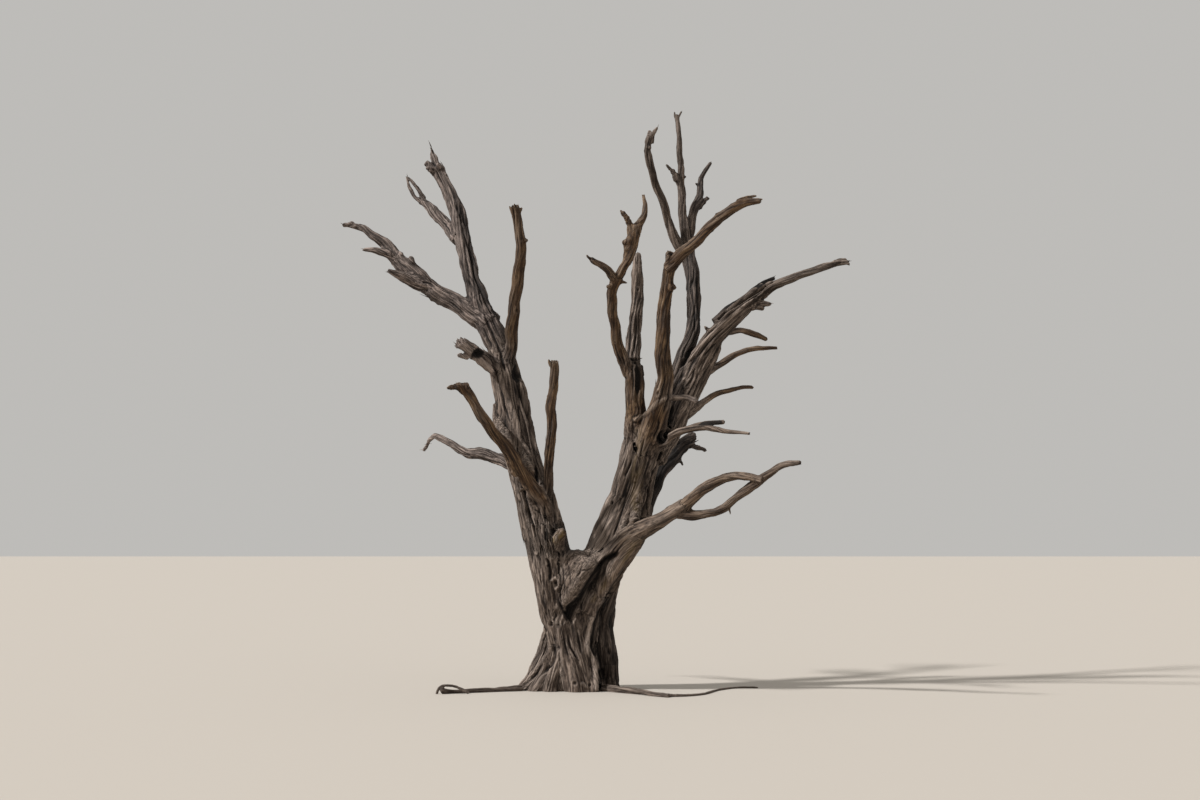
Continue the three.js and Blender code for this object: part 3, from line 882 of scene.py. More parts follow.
relief = {
    # lobes: the fluted strands of old desert wood, sized by the limb, with creases between them
    "lobe": {
        "perRadius": 1.55, "alongRadii": 10, "leastRadius": 0.03, "depthShare": 0.22, "mostMm": 36,
        "width": 0.5, "power": 0.75, "openFrom": 0.6, "open": 1.3,
    },
    # furrows: open grooves; fissures: fine ridges and splits; lumps and bumps: big and small dents
    "furrow": {
        "acrossMm": 36, "alongMm": 640, "depthShare": 0.2, "mostMm": 18, "width": 0.14, "open": 0.8,
    },
    "fissure": {
        "acrossMm": 24, "alongMm": 380, "depthShare": 0.15, "mostMm": 9, "width": 0.45, "power": 0.6,
        "openFrom": 0.35, "open": 0.7,
    },
    "lump": {"acrossMm": 170, "alongMm": 300, "depthShare": 0.32, "mostMm": 20},
    "bump": {"acrossMm": 70, "alongMm": 115, "depthShare": 0.2, "mostMm": 12},
    "patchMm": (190, 700),  # furrows and fissures take turns, patch by patch
    "furrowPatch": (-0.35, 0.3),
    "fissurePatch": (-0.6, 0.3),
    "wanderMm": 24,
    "wanderSizeMm": (280, 600),
    "outShare": 0.55,    # share of the lobes' depth that stands out of the plain limb
    "swellShare": 0.06,  # the limb is thicker by this share of its radius, for what furrows take
    "swellMostMm": 7,
    "calmOpen": 0.7,     # worn wood is less open by this share
    "finishSteps": 30,   # over so many steps the reliefs of two finishes flow together
}
# how deep the relief is on each finish, and how strong its long strands and its dents are
finishDepth = byFinish(1.0, 1.1, 0.8, 1.0)
finishLobes = byFinish(1.0, 0.75, 0.4, 0.9)
finishDents = byFinish(0.6, 1.0, 1.0, 0.8)

# worn, smooth wood: its width, how much less relief it has, and its course; these are the right
# stem's plate, the low bough's strand, the crotch, the trunk's left side, the foot and the low bough
calms = [
    (440, 0.8, [(-90, 1200), (80, 1450), (230, 1680), (330, 1950)]),
    (230, 0.75, [(700, 1780), (405, 1400), (185, 1075), (60, 800)]),
    (330, 0.9, [(-200, 1600), (-60, 1540), (40, 1560), (140, 1640)]),
    (280, 0.65, [(-230, 1500), (-210, 1250), (-200, 1050)]),
    (200, 0.5, [(-400, 1550), (-360, 1200), (-350, 950)]),
    (400, 0.65, [(-80, 640), (-60, 300), (-40, 40)]),
    (260, 0.4, [(-330, 600), (-400, 350), (-560, 150)]),
    (260, 0.5, [(700, 1780), (1000, 2000), (1500, 2250)]),
]


def calmness():
    calm = np.zeros(len(skin))
    for wide, share, course in calms:
        index, near = nearCourse(course, wide)
        calm[index] = np.maximum(calm[index], share * smoothStep(near, 0, 0.6))
    return calm


def reliefAt(local, radius, index):
    # depth below the plain skin, in metres, and how open the wood is there, 0 to 1
    seed = index * 17
    lobe = relief["lobe"]
    furrow = relief["furrow"]
    fissure = relief["fissure"]
    finish = slotOf[nodeNames[guides[index]["node"]]]
    lobeShare = finishLobes[finish]

    def depthOf(kind):
        return np.minimum(radius * kind["depthShare"], kind["mostMm"] * mm)

    def dents(kind, salt):
        return noiseAt(stretched(local, kind["acrossMm"], kind["alongMm"]), seed + salt) * depthOf(kind)

    wandering = stretched(local, *relief["wanderSizeMm"])
    bent = local.copy()
    for axis in (0, 1):
        bent[:, axis] += noiseAt(wandering, seed + 1 + axis) * relief["wanderMm"] * mm * 2
    sized = bent * lobe["perRadius"] / radius[:, None]
    mean = max(guides[index]["radius"].mean(), lobe["leastRadius"])
    sized[:, 2] = bent[:, 2] / (lobe["alongRadii"] * mean)
    lobes = 1 - np.clip(np.abs(noiseAt(sized, seed + 3)) / lobe["width"], 0, 1) ** lobe["power"]
    patch = noiseAt(stretched(bent, *relief["patchMm"]), seed + 5)
    line = noiseAt(stretched(bent, furrow["acrossMm"], furrow["alongMm"]), seed + 4)
    furrows = np.exp(-(line / furrow["width"]) ** 2) * smoothStep(patch, *relief["furrowPatch"])
    fine = noiseAt(stretched(bent, fissure["acrossMm"], fissure["alongMm"]), seed + 6)
    fissures = 1 - np.clip(np.abs(fine) / fissure["width"], 0, 1) ** fissure["power"]
    fissures = fissures * smoothStep(-patch, *relief["fissurePatch"])
    depth = depthOf(lobe) * lobeShare * (lobes - relief["outShare"])
    depth += depthOf(furrow) * furrows + depthOf(fissure) * fissures
    depth += (dents(relief["lump"], 7) + dents(relief["bump"], 8)) * finishDents[finish]
    openness = furrows * furrow["open"]
    openness += np.clip(fissures - fissure["openFrom"], 0, 1) * fissure["open"]
    openness += np.clip(lobes - lobe["openFrom"], 0, 1) * lobe["open"] * lobeShare
    return depth, np.clip(openness, 0, 1)


def carveRelief():
    depth = np.zeros(len(skin))
    openness = np.zeros(len(skin))
    blend = 0.5 * (1 - smoothStep(borderSteps / max(borderSteps.max() - 1, 1), 0, 1))
    blend[secondOf < 0] = 0
    for index in range(len(guides)):
        mine = np.flatnonzero(guideOf == index)
        near = np.flatnonzero((secondOf == index) & (blend > 0))
        for chosen, share in ((mine, 1 - blend[mine]), (near, blend[near])):
            if len(chosen):
                spots = local[mine] if chosen is mine else alongGuide(skin[near], index)[0]
                got = reliefAt(spots, radiusOf[chosen], index)
                depth[chosen] += got[0] * share
                openness[chosen] += got[1] * share
    strength = overSkin(lambda name: finishDepth[slotOf[name]])
    strength = graph.smooth(strength, relief["finishSteps"])
    calm = calmness()
    return depth * strength * (1 - calm), openness * (1 - relief["calmOpen"] * calm)


plainNormals = normalsOf(plainSkin, quads)
depth, openness = carveRelief()
swell = np.minimum(radiusOf * relief["swellShare"], relief["swellMostMm"] * mm)
skin = plainSkin + plainNormals * (swell - depth)[:, None]
report("cut the furrows")


# features given on the front view

bleached = np.zeros(len(skin))
# hollow: painted shade, how dark the wood is drawn in grooves, splits, knot holes, broken ends and under
# ledges
hollow = np.zeros(len(skin))
ochre = np.zeros(len(skin))
# a groove narrows to this share of its width, over this share of its length at both ends
grooveLook = {"endShare": 0.3, "taper": (-0.03, 0.3), "power": 1.4}
# a rib takes away these shares of the painted shade of the hollows and of the open wood that it runs over
ribLook = {"power": 1.5, "hollow": 0.8, "open": 0.6}


def atLeast(values, index, least):
    values[index] = np.maximum(values[index], least)


def carveAlong(hits, wide, deep, dark=0.9, soft=1.0):
    # a groove that narrows to a point at both ends, or with one hit a hole, its inside painted dark as
    # shade
    # wide: one width in millimetres, or one for each hit, and then the ends stay as wide
    # soft: how much of the groove's depth it takes to be fully dark
    widths = np.broadcast_to(wide, len(hits))
    share = np.linspace(0, 1, len(hits))
    taper = np.ones(len(hits))
    if len(hits) > 3 and np.ndim(wide) == 0:
        taper = smoothStep(np.minimum(share, 1 - share), *grooveLook["taper"])
    narrow = grooveLook["endShare"]
    reaches = widths * (narrow + (1 - narrow) * taper) * mm / 2
    index, gap, nearest = gapTo(hits, reaches.max())
    side = np.clip(1 - (gap / reaches[nearest]) ** 2, 0, 1) ** grooveLook["power"]
    skin[index] -= plainNormals[index] * (deep * mm * side * taper[nearest])[:, None]
    shadow = np.clip(side * taper[nearest] / soft, 0, 1)
    # painted shade inside the groove, darkest where it is deepest
    atLeast(hollow, index, dark * shadow)


def carve(wide, deep, dark, soft, course):
    hits, points = hitsAlong(course)
    if len(hits):
        carveAlong(hits, wide or points[:, 2], deep, dark, soft)
    else:
        print("nothing to carve at", course)


def raiseEdge(wide, high, pale, course):
    # a worn, pale rib
    hits = hitsAlong(course)[0]
    if not len(hits):
        print("nothing to raise at", course)
        return
    reach = wide * mm / 2
    index, gap, _ = gapTo(hits, reach)
    side = np.clip(1 - (gap / reach) ** 2, 0, 1) ** ribLook["power"]
    skin[index] += plainNormals[index] * (high * mm * side)[:, None]
    atLeast(bleached, index, pale * side)
    hollow[index] *= 1 - ribLook["hollow"] * side
    openness[index] *= 1 - ribLook["open"] * side


def cutLedge(look):
    # the wood to the right of and below a line is set back, most at the line itself, and painted dark as
    # the shade cast over it; the course's third value is how far from the line the hollow and its shade
    # reach
    hits = hitsAlong(look["course"])[0]
    line = denseCourse(look["course"])
    index = gapTo(hits, 1.5 * line[:, 2].max() * mm)[0]
    here = seenFrom(plainSkin[index])
    k = ((here[:, None, :] - line[:, :2]) ** 2).sum(2).argmin(1).clip(0, len(line) - 2)
    run = unit(line[k + 1, :2] - line[k, :2])
    offset = here - line[k, :2]
    aside = offset[:, 0] * run[:, 1] - offset[:, 1] * run[:, 0]
    ahead = (offset * run).sum(1)
    beyond = np.where(k == 0, np.clip(-ahead, 0, None), 0)
    above = np.where(k == len(line) - 2, np.clip(ahead, 0, None), 0)
    towardsEye = unit(eyePoint - plainSkin[index])
    facing = smoothStep((plainNormals[index] * towardsEye).sum(1), 0.0, 0.35)
    # past its lower end the line turns down to the right, and past both ends it fades
    fade = 1 - smoothStep(beyond, *ledgeFadeMm["below"])
    fade = fade * (1 - smoothStep(above, *ledgeFadeMm["above"])) * facing
    cut = smoothStep(aside - look["turnDown"] * beyond, *ledgeFadeMm["lip"])
    left = np.clip(1 - aside / line[k, 2], 0, 1)
    skin[index] -= towardsEye * (look["deepMm"] * mm * cut * left ** 0.9 * fade)[:, None]
    # painted shadow on the set-back wood
    atLeast(hollow, index, look["dark"] * cut * left ** look["fade"] * fade)


def stain(wide, strength, course):
    index, near = nearCourse(course, wide)
    spread = smoothStep(near, 0, 0.8)
    uneven = smoothStep(noiseAt(stretched(local[index], *stainMm), noiseSeeds["stain"]), -0.35, 0.35)
    atLeast(ochre, index, strength * spread * uneven)


# the cut fades over these lengths past its lower end and its upper end, and over its lip
ledgeFadeMm = {"below": (70, 170), "above": (0, 80), "lip": (-5, 18)}
ledges = [
    {  # the plate of the right stem, over a hollow painted dark as its shadow, along a line ending in a point
        "course": [
            (-228, 872, 160), (-150, 985, 150), (-66, 1058, 135), (0, 1180, 145), (80, 1310, 150),
            (150, 1410, 150), (239, 1500, 120), (346, 1555, 80),
        ],
        "deepMm": 130, "dark": 1.0, "fade": 0.7, "turnDown": 2.6,
    },
    {  # the rib beside the rear buttress, which is set back and painted dark as its shade
        "course": [
            (166, 8, 230), (166, 133, 230), (166, 287, 210), (104, 403, 210), (72, 493, 220),
            (86, 635, 210), (100, 778, 190), (138, 868, 170), (236, 1050, 130), (308, 1192, 100),
            (426, 1348, 60),
        ],
        "deepMm": 80, "dark": 0.62, "fade": 0.45, "turnDown": 0,
    },
]

# grooves and holes: width, or 0 where each point of the course has its own as a third value; depth;
# how dark their painted shade is; how much of the depth it takes to be fully dark; the course
grooves = [
    # the trunk
    (50, 26, 0.9, 1, [(-426, 1518), (-387, 1413), (-373, 1309), (-399, 1179)]),
    (50, 26, 0.9, 1, [(-281, 1024), (-242, 920), (-202, 816), (-137, 726)]),
    (44, 26, 0.9, 1, [(-184, 662), (-165, 560), (-144, 479), (-90, 390), (-25, 295)]),
    (38, 22, 0.9, 1, [(-70, 690), (-48, 560), (-20, 380)]),
    (34, 20, 0.9, 1, [(-230, 640), (-200, 480), (-150, 330)]),
    (70, 28, 0.35, 1, [(-384, 584), (-332, 493), (-319, 377), (-370, 274), (-513, 133)]),
    (34, 16, 0.6, 1, [(-400, 560), (-450, 380), (-560, 210)]),
    (40, 20, 0.6, 1, [(-440, 330), (-520, 190), (-650, 60)]),
    (0, 8, 0.0, 1, [(-268, 480, 20), (-262, 380, 34), (-250, 250, 54), (-235, 120, 76), (-230, -60, 90)]),
    (24, 10, 0.6, 1, [(-186, 1479), (-146, 1294), (-145, 1109)]),
    (30, 14, 0.9, 1, [(-225, 1440), (-217, 1215), (-206, 1004)]),
    (26, 9, 0.5, 1, [(-292, 1479), (-265, 1347), (-252, 1162)]),
    (24, 10, 0.6, 1, [(10, 1460), (-50, 1290), (-90, 1180)]),
    (24, 10, 0.6, 1, [(170, 1700), (90, 1560), (20, 1420)]),
    (26, 12, 0.7, 1, [(330, 2050), (250, 1870), (190, 1720)]),
    # the crotch, with the stub's shadow painted dark to its right
    (84, 44, 1.0, 0.5, [(-190, 1735), (-163, 1664), (-130, 1585)]),
    # left stem
    (80, 60, 0.9, 1, [(-736, 2397), (-660, 2170), (-640, 2009), (-586, 1850), (-532, 1717),
        (-518, 1585)]),
    (50, 34, 0.9, 1, [(-426, 1570), (-380, 1650), (-334, 1725)]),
    (50, 34, 0.9, 1, [(-1073, 3868), (-975, 3513), (-909, 3224), (-796, 2935)]),
    (80, 60, 0.9, 1, [(-783, 3610), (-702, 3320), (-605, 3031), (-556, 2711), (-491, 2456)]),
    # a notch at the left stem's top, painted black as its shade
    (290, 64, 1.0, 0.3, [(-810, 3665), (-765, 3620), (-709, 3560), (-660, 3480), (-640, 3420)]),
    (60, 46, 0.9, 1, [(-560, 2560), (-540, 2420), (-500, 2300)]),
    (44, 26, 0.9, 1, [(-470, 2130), (-440, 1960), (-400, 1800)]),
    # right stem
    (36, 18, 0.9, 1, [(521, 2249), (470, 2110), (430, 1975), (370, 1800), (315, 1657)]),
    (0, 54, 1.0, 0.5, [(735, 1985, 50), (738, 2110, 44), (745, 2250, 40), (777, 2400, 44),
        (850, 2560, 50), (900, 2680, 60)]),
    (0, 4, 0.8, 0.4, [(800, 1985, 120), (795, 2177, 130), (847, 2372, 150), (945, 2568, 160),
        (1050, 2700, 120)]),
    (150, 80, 1.0, 0.4, [(850, 2780), (890, 2850), (950, 2930), (1010, 2990)]),
    (100, 46, 1.0, 0.5, [(1036, 3240), (1012, 3160), (996, 3080), (970, 2990)]),
    (90, 0, 0.95, 0.3, [(1290, 2995), (1424, 3025), (1540, 3050), (1620, 3065)]),
    (60, 8, 0.6, 1, [(692, 1757), (905, 1837), (1065, 1916)]),
    (44, 26, 0.9, 1, [(560, 1880), (640, 1925), (740, 1950)]),
    (40, 18, 0.9, 1, [(700, 2900), (650, 2700), (640, 2500)]),
    # the crown
    (60, 30, 0.9, 1, [(-1421, 5332), (-1322, 5071), (-1256, 4744), (-1125, 4419), (-995, 4160)]),
    # the left leader's right side, away from the key light, painted dark as shade
    (110, 12, 0.85, 1, [(-1614, 5956), (-1462, 5595), (-1343, 5300), (-1283, 5005), (-1249, 4744),
        (-1086, 4419), (-956, 4160), (-865, 3901)]),
    (110, 12, 1.0, 0.4, [(1567, 4300), (1755, 4463), (1972, 4605), (2190, 4700)]),
    (50, 24, 0.9, 1, [(-1488, 5595), (-1440, 5460), (-1389, 5332)]),
    (54, 22, 0.9, 1, [(497, 3783), (586, 3762), (676, 3776)]),
    (100, 36, 1.0, 0.5, [(612, 3745), (633, 3603), (628, 3424), (610, 3330)]),
    (70, 24, 0.9, 1, [(1298, 4870), (1332, 4579), (1345, 4289), (1322, 4072)]),
    (64, 40, 0.9, 1, [(1376, 4036), (1304, 3928), (1213, 3819), (1105, 3639)]),
    (50, 16, 0.8, 1, [(642, 4398), (662, 4072), (640, 3855)]),
    (44, 26, 0.9, 1, [(-1170, 4330), (-1050, 4050), (-960, 3800)]),
    (44, 30, 0.9, 1, [(-1020, 4000), (-930, 3740), (-880, 3560)]),
    (0, 80, 1.0, 1, [(1560, 4235, 30), (1640, 4318, 70), (1753, 4405, 84), (1981, 4552, 76),
        (2177, 4655, 40)]),
    (36, 22, 0.9, 1, [(1250, 4700), (1290, 4300), (1260, 3980)]),
    (36, 20, 0.9, 1, [(640, 4300), (600, 3980), (590, 3760)]),
    # holes: the trunk and its foot
    (44, 22, 0.9, 1, [(-399, 1400)]),
    (40, 20, 0.9, 1, [(-318, 1202)]),
    (50, 34, 0.9, 1, [(-366, 750), (-366, 730)]),
    (50, 16, 0.5, 1, [(-463, 775)]),
    (40, 14, 0.5, 1, [(-93, 1426)]),
    (56, 24, 0.6, 1, [(-96, 75)]),
    (50, 24, 0.6, 1, [(70, 55)]),
    # holes: the stems and the crown
    (66, 12, 0.15, 1, [(-326, 1640), (-290, 1700), (-256, 1750), (-232, 1778)]),
    (50, 36, 0.9, 1, [(324, 2112)]),
    (44, 18, 0.9, 1, [(590, 2344)]),
    (60, 26, 0.7, 1, [(593, 3732)]),
    (150, 60, 1.0, 0.3, [(-1300, 3765), (-1255, 3800), (-1201, 3836), (-1140, 3870), (-1100, 3890)]),
]

# worn ribs that stand out: width, height, how pale, and the course
raisedEdges = [
    # the plate's rim over the hollow, and the rib beside the rear buttress
    (130, 14, 0.4, [(-262, 930), (-180, 1050), (-105, 1160), (-45, 1280), (25, 1390), (120, 1490)]),
    (92, 18, 1.0, [(86, 800), (62, 640), (48, 493), (80, 403), (140, 287), (144, 140), (144, 20)]),
    # the low bough's smooth strand beside the hollow
    (170, 14, 0.1, [(560, 1640), (470, 1500), (380, 1370), (290, 1235), (205, 1090), (130, 950),
        (80, 830)]),
    (300, 4, 0.3, [(-30, 1400), (120, 1640), (260, 1900), (330, 2100)]),
    (110, 12, 0.3, [(-228, 1560), (-226, 1400), (-216, 1240)]),
    (54, 14, 0.9, [(-412, 1532), (-367, 1611), (-306, 1704), (-245, 1790)]),
    (44, 24, 0.8, [(-362, 1232), (-320, 1264), (-278, 1230), (-276, 1165), (-312, 1135)]),
    # the ridge down the left stem, and the stub's pale stick and knob
    (64, 22, 0.45, [(-1122, 3998), (-992, 3739), (-927, 3449), (-829, 3192), (-748, 2999), (-699, 2711),
        (-539, 2424), (-442, 2169)]),
    (64, 14, 0.3, [(-802, 2462), (-641, 2276), (-493, 2116), (-426, 1877), (-346, 1691)]),
    (210, 4, 1.0, [(-1437, 3985), (-1370, 3940), (-1280, 3900)]),
    (80, 4, 1.0, [(-1426, 3804), (-1313, 3790)]),
    (110, 4, 0.9, [(-1230, 3760), (-1120, 3700), (-1060, 3640)]),
    # the low bough
    (90, 6, 0.5, [(425, 1611), (585, 1770), (798, 1890), (1038, 2009)]),
    (50, 16, 0.5, [(548, 1895), (600, 1935), (655, 1915)]),
    (260, 0, 0.3, [(560, 1690), (800, 1880), (1100, 2030)]),
    (50, 10, 0.8, [(-242, 1045), (-235, 972)]),
    (130, 26, 0.7, [(-262, 420), (-256, 320), (-250, 220), (-246, 120), (-244, 30)]),
    (60, 16, 0.8, [(-10, 70), (30, 40)]),
    (80, 26, 0.8, [(600, 3060), (700, 3120), (765, 3170), (836, 3242), (926, 3304), (1032, 3332),
        (1159, 3332), (1290, 3270)]),
    (50, 14, 0.8, [(-580, 1950), (-530, 1800), (-490, 1650)]),
    (50, 16, 0.8, [(-600, 2700), (-560, 2500), (-500, 2330)]),
]

stainMm = (40, 240)
# ochre stains and tints: width, strength and course
stains = [
    (130, 0.75, [(-323, 1680), (-255, 1760)]),
    (80, 0.35, [(107, 1004), (266, 1215), (425, 1426), (600, 1640)]),
    (220, 0.3, [(640, 2900), (600, 2400), (620, 2050)]),
    # an ochre tint on the low bough's underside
    (90, 0.35, [(560, 1640), (740, 1700), (900, 1840)]),
]

for ledge in ledges:
    cutLedge(ledge)
for edge in raisedEdges:
    raiseEdge(*edge)
for groove in grooves:
    carve(*groove)
for mark in stains:
    stain(*mark)
report("laid the features")


# long splits that follow the grain, all round

splits = {
    "count": 240, "seed": 3,
    "stepMm": 14,
    "longMm": (160, 600),
    "wideMm": (18, 40),
    "depthShare": 0.8,  # of the width
    "leastRadiusMm": 38,
    "fullRadius": 0.12,  # on thinner limbs than this, in metres, splits are smaller
    "finishShare": byFinish(1.0, 1.2, 0.5, 0.8),
}
limbAreas = np.array([trianglesOf(index)[3].sum() for index in range(len(nodeNames))])
# how far a point may lie from the skin, and how high it has to be, in metres, and how many points
# are tried for each one wanted
wildLook = {"gap": 0.02, "height": 0.12, "tries": 6}


def wildPoints(look):
    # skin points chosen at random, as many to each limb as its area and its finish's share give
    rng = np.random.default_rng(look["seed"])
    odds = limbAreas * np.array([look["finishShare"][slotOf[name]] for name in nodeNames])
    found = []
    for limb in rng.choice(len(odds), look["count"] * wildLook["tries"], p=odds / odds.sum()):
        spot = limbSamples[limb][rng.integers(len(limbSamples[limb]))]
        index, gap = skinTree.find(spot)[1:]
        near = gap < wildLook["gap"] and spot[2] > wildLook["height"]
        thick = radiusOf[index] >= look.get("leastRadiusMm", 0) * mm
        if near and thick and ownerOf[index] == limb:
            found.append(index)
        if len(found) == look["count"]:
            break
    return np.array(found, int)


def traceGrain(index, length):
    # the course over the skin that the grain takes, both ways from a point
    halves = []
    for way in (-1, 1):
        here = index
        half = []
        for _ in range(int(length / (2 * splits["stepMm"] * mm))):
            here = skinTree.find(plainSkin[here] + heading[here] * way * splits["stepMm"] * mm)[1]
            half.append(plainSkin[here])
        halves.append(half)
    return np.array(halves[0][::-1] + [plainSkin[index]] + halves[1])


def openSplits():
    rng = np.random.default_rng(splits["seed"])
    for index in wildPoints(splits):
        size = min(1.0, radiusOf[index] / splits["fullRadius"])
        long = rng.uniform(*splits["longMm"]) * (0.5 + 0.5 * size)
        wide = rng.uniform(*splits["wideMm"]) * (0.6 + 0.4 * size)
        carveAlong(traceGrain(index, long * mm), wide, wide * splits["depthShare"] * size)


openSplits()
report("opened the splits")

# knots all round, broken tips and crooked limbs

knots = {
    "count": 54, "seed": 21,
    "wideMm": (36, 84),
    "leastRadiusMm": 40,
    "fullRadius": 0.1,
    "longShare": 1.6,  # knots are drawn out along the grain
    # the collar and the hole in it, as shares of the knot's width; the hole is painted dark as shade
    "ring": {"from": 0.5, "wide": 0.22, "high": 0.15, "pale": 0.3},
    "hole": {"wide": 0.28, "deep": 0.2, "dark": 0.5},
    "finishShare": byFinish(1.0, 0.7, 1.6, 0.8),
}
brokenTips = {
    "depthShare": 1.7, "reachShare": 1.9, "fullShare": 0.2, "shardMm": 22, "thinnestMm": 15, "dark": 0.6,
    "asideRadii": (1.2, 1.8),   # spurs stay whole: skin this far from the limb's middle line
    "beyondRadii": (0.3, 1.0),  # or this far past its end
    "levels": 5,                # shards end at so many heights
    "alongShare": 0.15,         # and are drawn out along the limb
}
# limbs whose ends have their shape from spurs
wholeTips = ("rear_bough", "left_front_bough", "top_left_prong")
crooks = {
    "bendShare": 0.42, "mostMm": 17, "waveMm": 330, "footMm": 160, "thickestMm": 100,
    "noiseGain": 2.6,     # makes up for the noise's small range
    "apart": (3.7, 5.3),  # limbs, and both ways across them, read the noise this far apart
    "smoothSteps": 24,
}


def growKnots():
    rng = np.random.default_rng(knots["seed"])
    collar = knots["ring"]
    pit = knots["hole"]
    for index in wildPoints(knots):
        if nodeNames[ownerOf[index]] == "trunk" and plainNormals[index][1] < 0:
            continue  # the trunk's front has its knots listed with the features
        wide = rng.uniform(*knots["wideMm"]) * mm * min(1, radiusOf[index] / knots["fullRadius"])
        near, gap, _ = gapTo(plainSkin[index][None], wide * knots["longShare"])
        along = (plainSkin[near] - plainSkin[index]) @ heading[index]
        gap = np.sqrt(np.clip(gap ** 2 - along ** 2 * (1 - knots["longShare"] ** -2), 0, None))
        ring = np.exp(-((gap - wide * collar["from"]) / (wide * collar["wide"])) ** 2)
        hole = np.exp(-(gap / (wide * pit["wide"])) ** 2)
        skin[near] += plainNormals[near] * ((ring * collar["high"] - hole * pit["deep"]) * wide)[:, None]
        # painted shade in the knot's hole
        atLeast(hollow, near, hole * pit["dark"])
        atLeast(bleached, near, ring * collar["pale"])


def tipRadius(guide):
    return guide["radius"][-4:].mean()


def breakTips():
    for index, guide in enumerate(guides):
        radius = tipRadius(guide)
        whole = nodeNames[guide["node"]] in wholeTips
        if whole or not guide["tip"] or radius < brokenTips["thinnestMm"] * mm:
            continue
        mine = np.flatnonzero(guideOf == index)
        end = guide["place"][-1]
        ragged = (end - radius * brokenTips[share] for share in ("reachShare", "fullShare"))
        nearTip = smoothStep(local[mine, 2], *ragged)
        off = np.hypot(local[mine, 0], local[mine, 1])
        aside = smoothStep(off, *(radius * share for share in brokenTips["asideRadii"]))
        beyond = smoothStep(local[mine, 2], *(end + radius * share for share in brokenTips["beyondRadii"]))
        nearTip = nearTip * (1 - np.maximum(aside, beyond))
        across = local[mine].copy()
        across[:, 2] *= brokenTips["alongShare"]
        shards = noiseAt(across / (brokenTips["shardMm"] * mm), noiseSeeds["tip"] + index)
        shards = np.clip(np.round((shards + 0.5) * brokenTips["levels"]) / brokenTips["levels"], 0, 1)
        cut = nearTip * shards * radius * brokenTips["depthShare"]
        skin[mine] -= guide["tangents"][-1] * cut[:, None]
        # painted shade, darkest where the shards are cut deepest
        atLeast(hollow, mine, nearTip * shards * brokenTips["dark"])


def crookLimbs():
    # thin limbs wind to and fro along their length
    shift = np.zeros_like(skin)
    for index, guide in enumerate(guides):
        mean = guide["radius"].mean()
        name = nodeNames[guide["node"]]
        if mean > crooks["thickestMm"] * mm or name == "trunk":
            continue
        mine = np.flatnonzero(guideOf == index)
        place = local[mine, 2]
        bend = min(mean * crooks["bendShare"], crooks["mostMm"] * mm) * crooks["noiseGain"]
        bend = bend * smoothStep(place, 0.02, crooks["footMm"] * mm)
        for salt, frameName in enumerate(("sides", "others")):
            wave = place / (crooks["waveMm"] * mm)
            salts = np.tile([index * crooks["apart"][0], salt * crooks["apart"][1]], (len(mine), 1))
            spots = np.column_stack([wave, salts])
            across = [np.interp(place, guide["place"], part) for part in guide[frameName].T]
            side = np.column_stack(across)
            shift[mine] += side * (bend * noiseAt(spots, noiseSeeds["crook"]))[:, None]
        if name.endswith("root"):
            shift[mine, 2] = 0
    return graph.smooth(shift, crooks["smoothSteps"])


growKnots()
breakTips()
skin += crookLimbs()
skin = graph.smooth(skin, 1, 0.35)
report("grew the knots, broke the tips and crooked the limbs")


# what the finish reads from the skin: painted shade in crevices, valleys, open grooves and hollows,
# and painted light on the side toward the key light

tone = {
    "fadeMm": 330,
    "creviceMm": 4.5,       # a dent this deep in the skin close by is painted fully dark as shade
    "valleyMm": 20,         # and this deep in the skin further off
    "closeSteps": 7,        # how far close by is, in steps over the skin
    "wideSteps": 44,
    "borderSteps": 20,      # over so many steps two limbs' shades flow together
    "groundMm": 140,        # the wood is less dark this close to the ground
    # the key light's direction: wood that faces it is painted paler, as light
    "lightFrom": (-0.55, -0.35, 0.75),
}
# how much painted shade each kind of dent gives the wood, and how much each thing pales it: the side
# toward the key light as painted light, ridges partly as painted highlight and partly as worn wood,
# patches as the wood's own tone
paintedShadeFrom = {"open": 0.62, "crevice": 0.6, "valley": 0.45}
paleAndPaintedLightFrom = {"up": 0.5, "ridge": 0.6, "patches": 0.8, "always": -0.16}
patchMetres = 0.45
paleStreakMm = (60, 500)
# limbs that are darker than their finish, by this share, partly their own tone and partly painted shade
# where they lie in shade; or, below zero, with less painted shade in their dents
limbShadeAndTone = {
    "left_root": 0.42, "right_root": 0.3, "rear_bough": 0.05, "top_middle_prong": 0.3,
    "top_left_prong": 0.2, "far_right_ridge": 0.7, "far_right_arm": 0.15, "left_leader": 0.2,
    "far_left_bough": 0.1, "left_upright": 0.15, "left_stem": 0.05, "left_hollow_stub": -1.0,
    "left_low_bough": -0.3, "low_bough": 0.08, "low_bough_lower_arm": 0.16,
    "low_bough_upper_arm": 0.14, "front_twig": 0.08,
}
# limbs whose finish starts right at their foot
pureLimbs = ("left_hollow_stub", "left_low_bough", "top_bough")
# brown limbs that have greyed, by this share
greyed = {
    "low_bough": 0.6, "low_bough_lower_arm": 0.45, "low_bough_upper_arm": 0.4, "front_twig": 0.6,
    "inner_right_arm": 0.3,
}


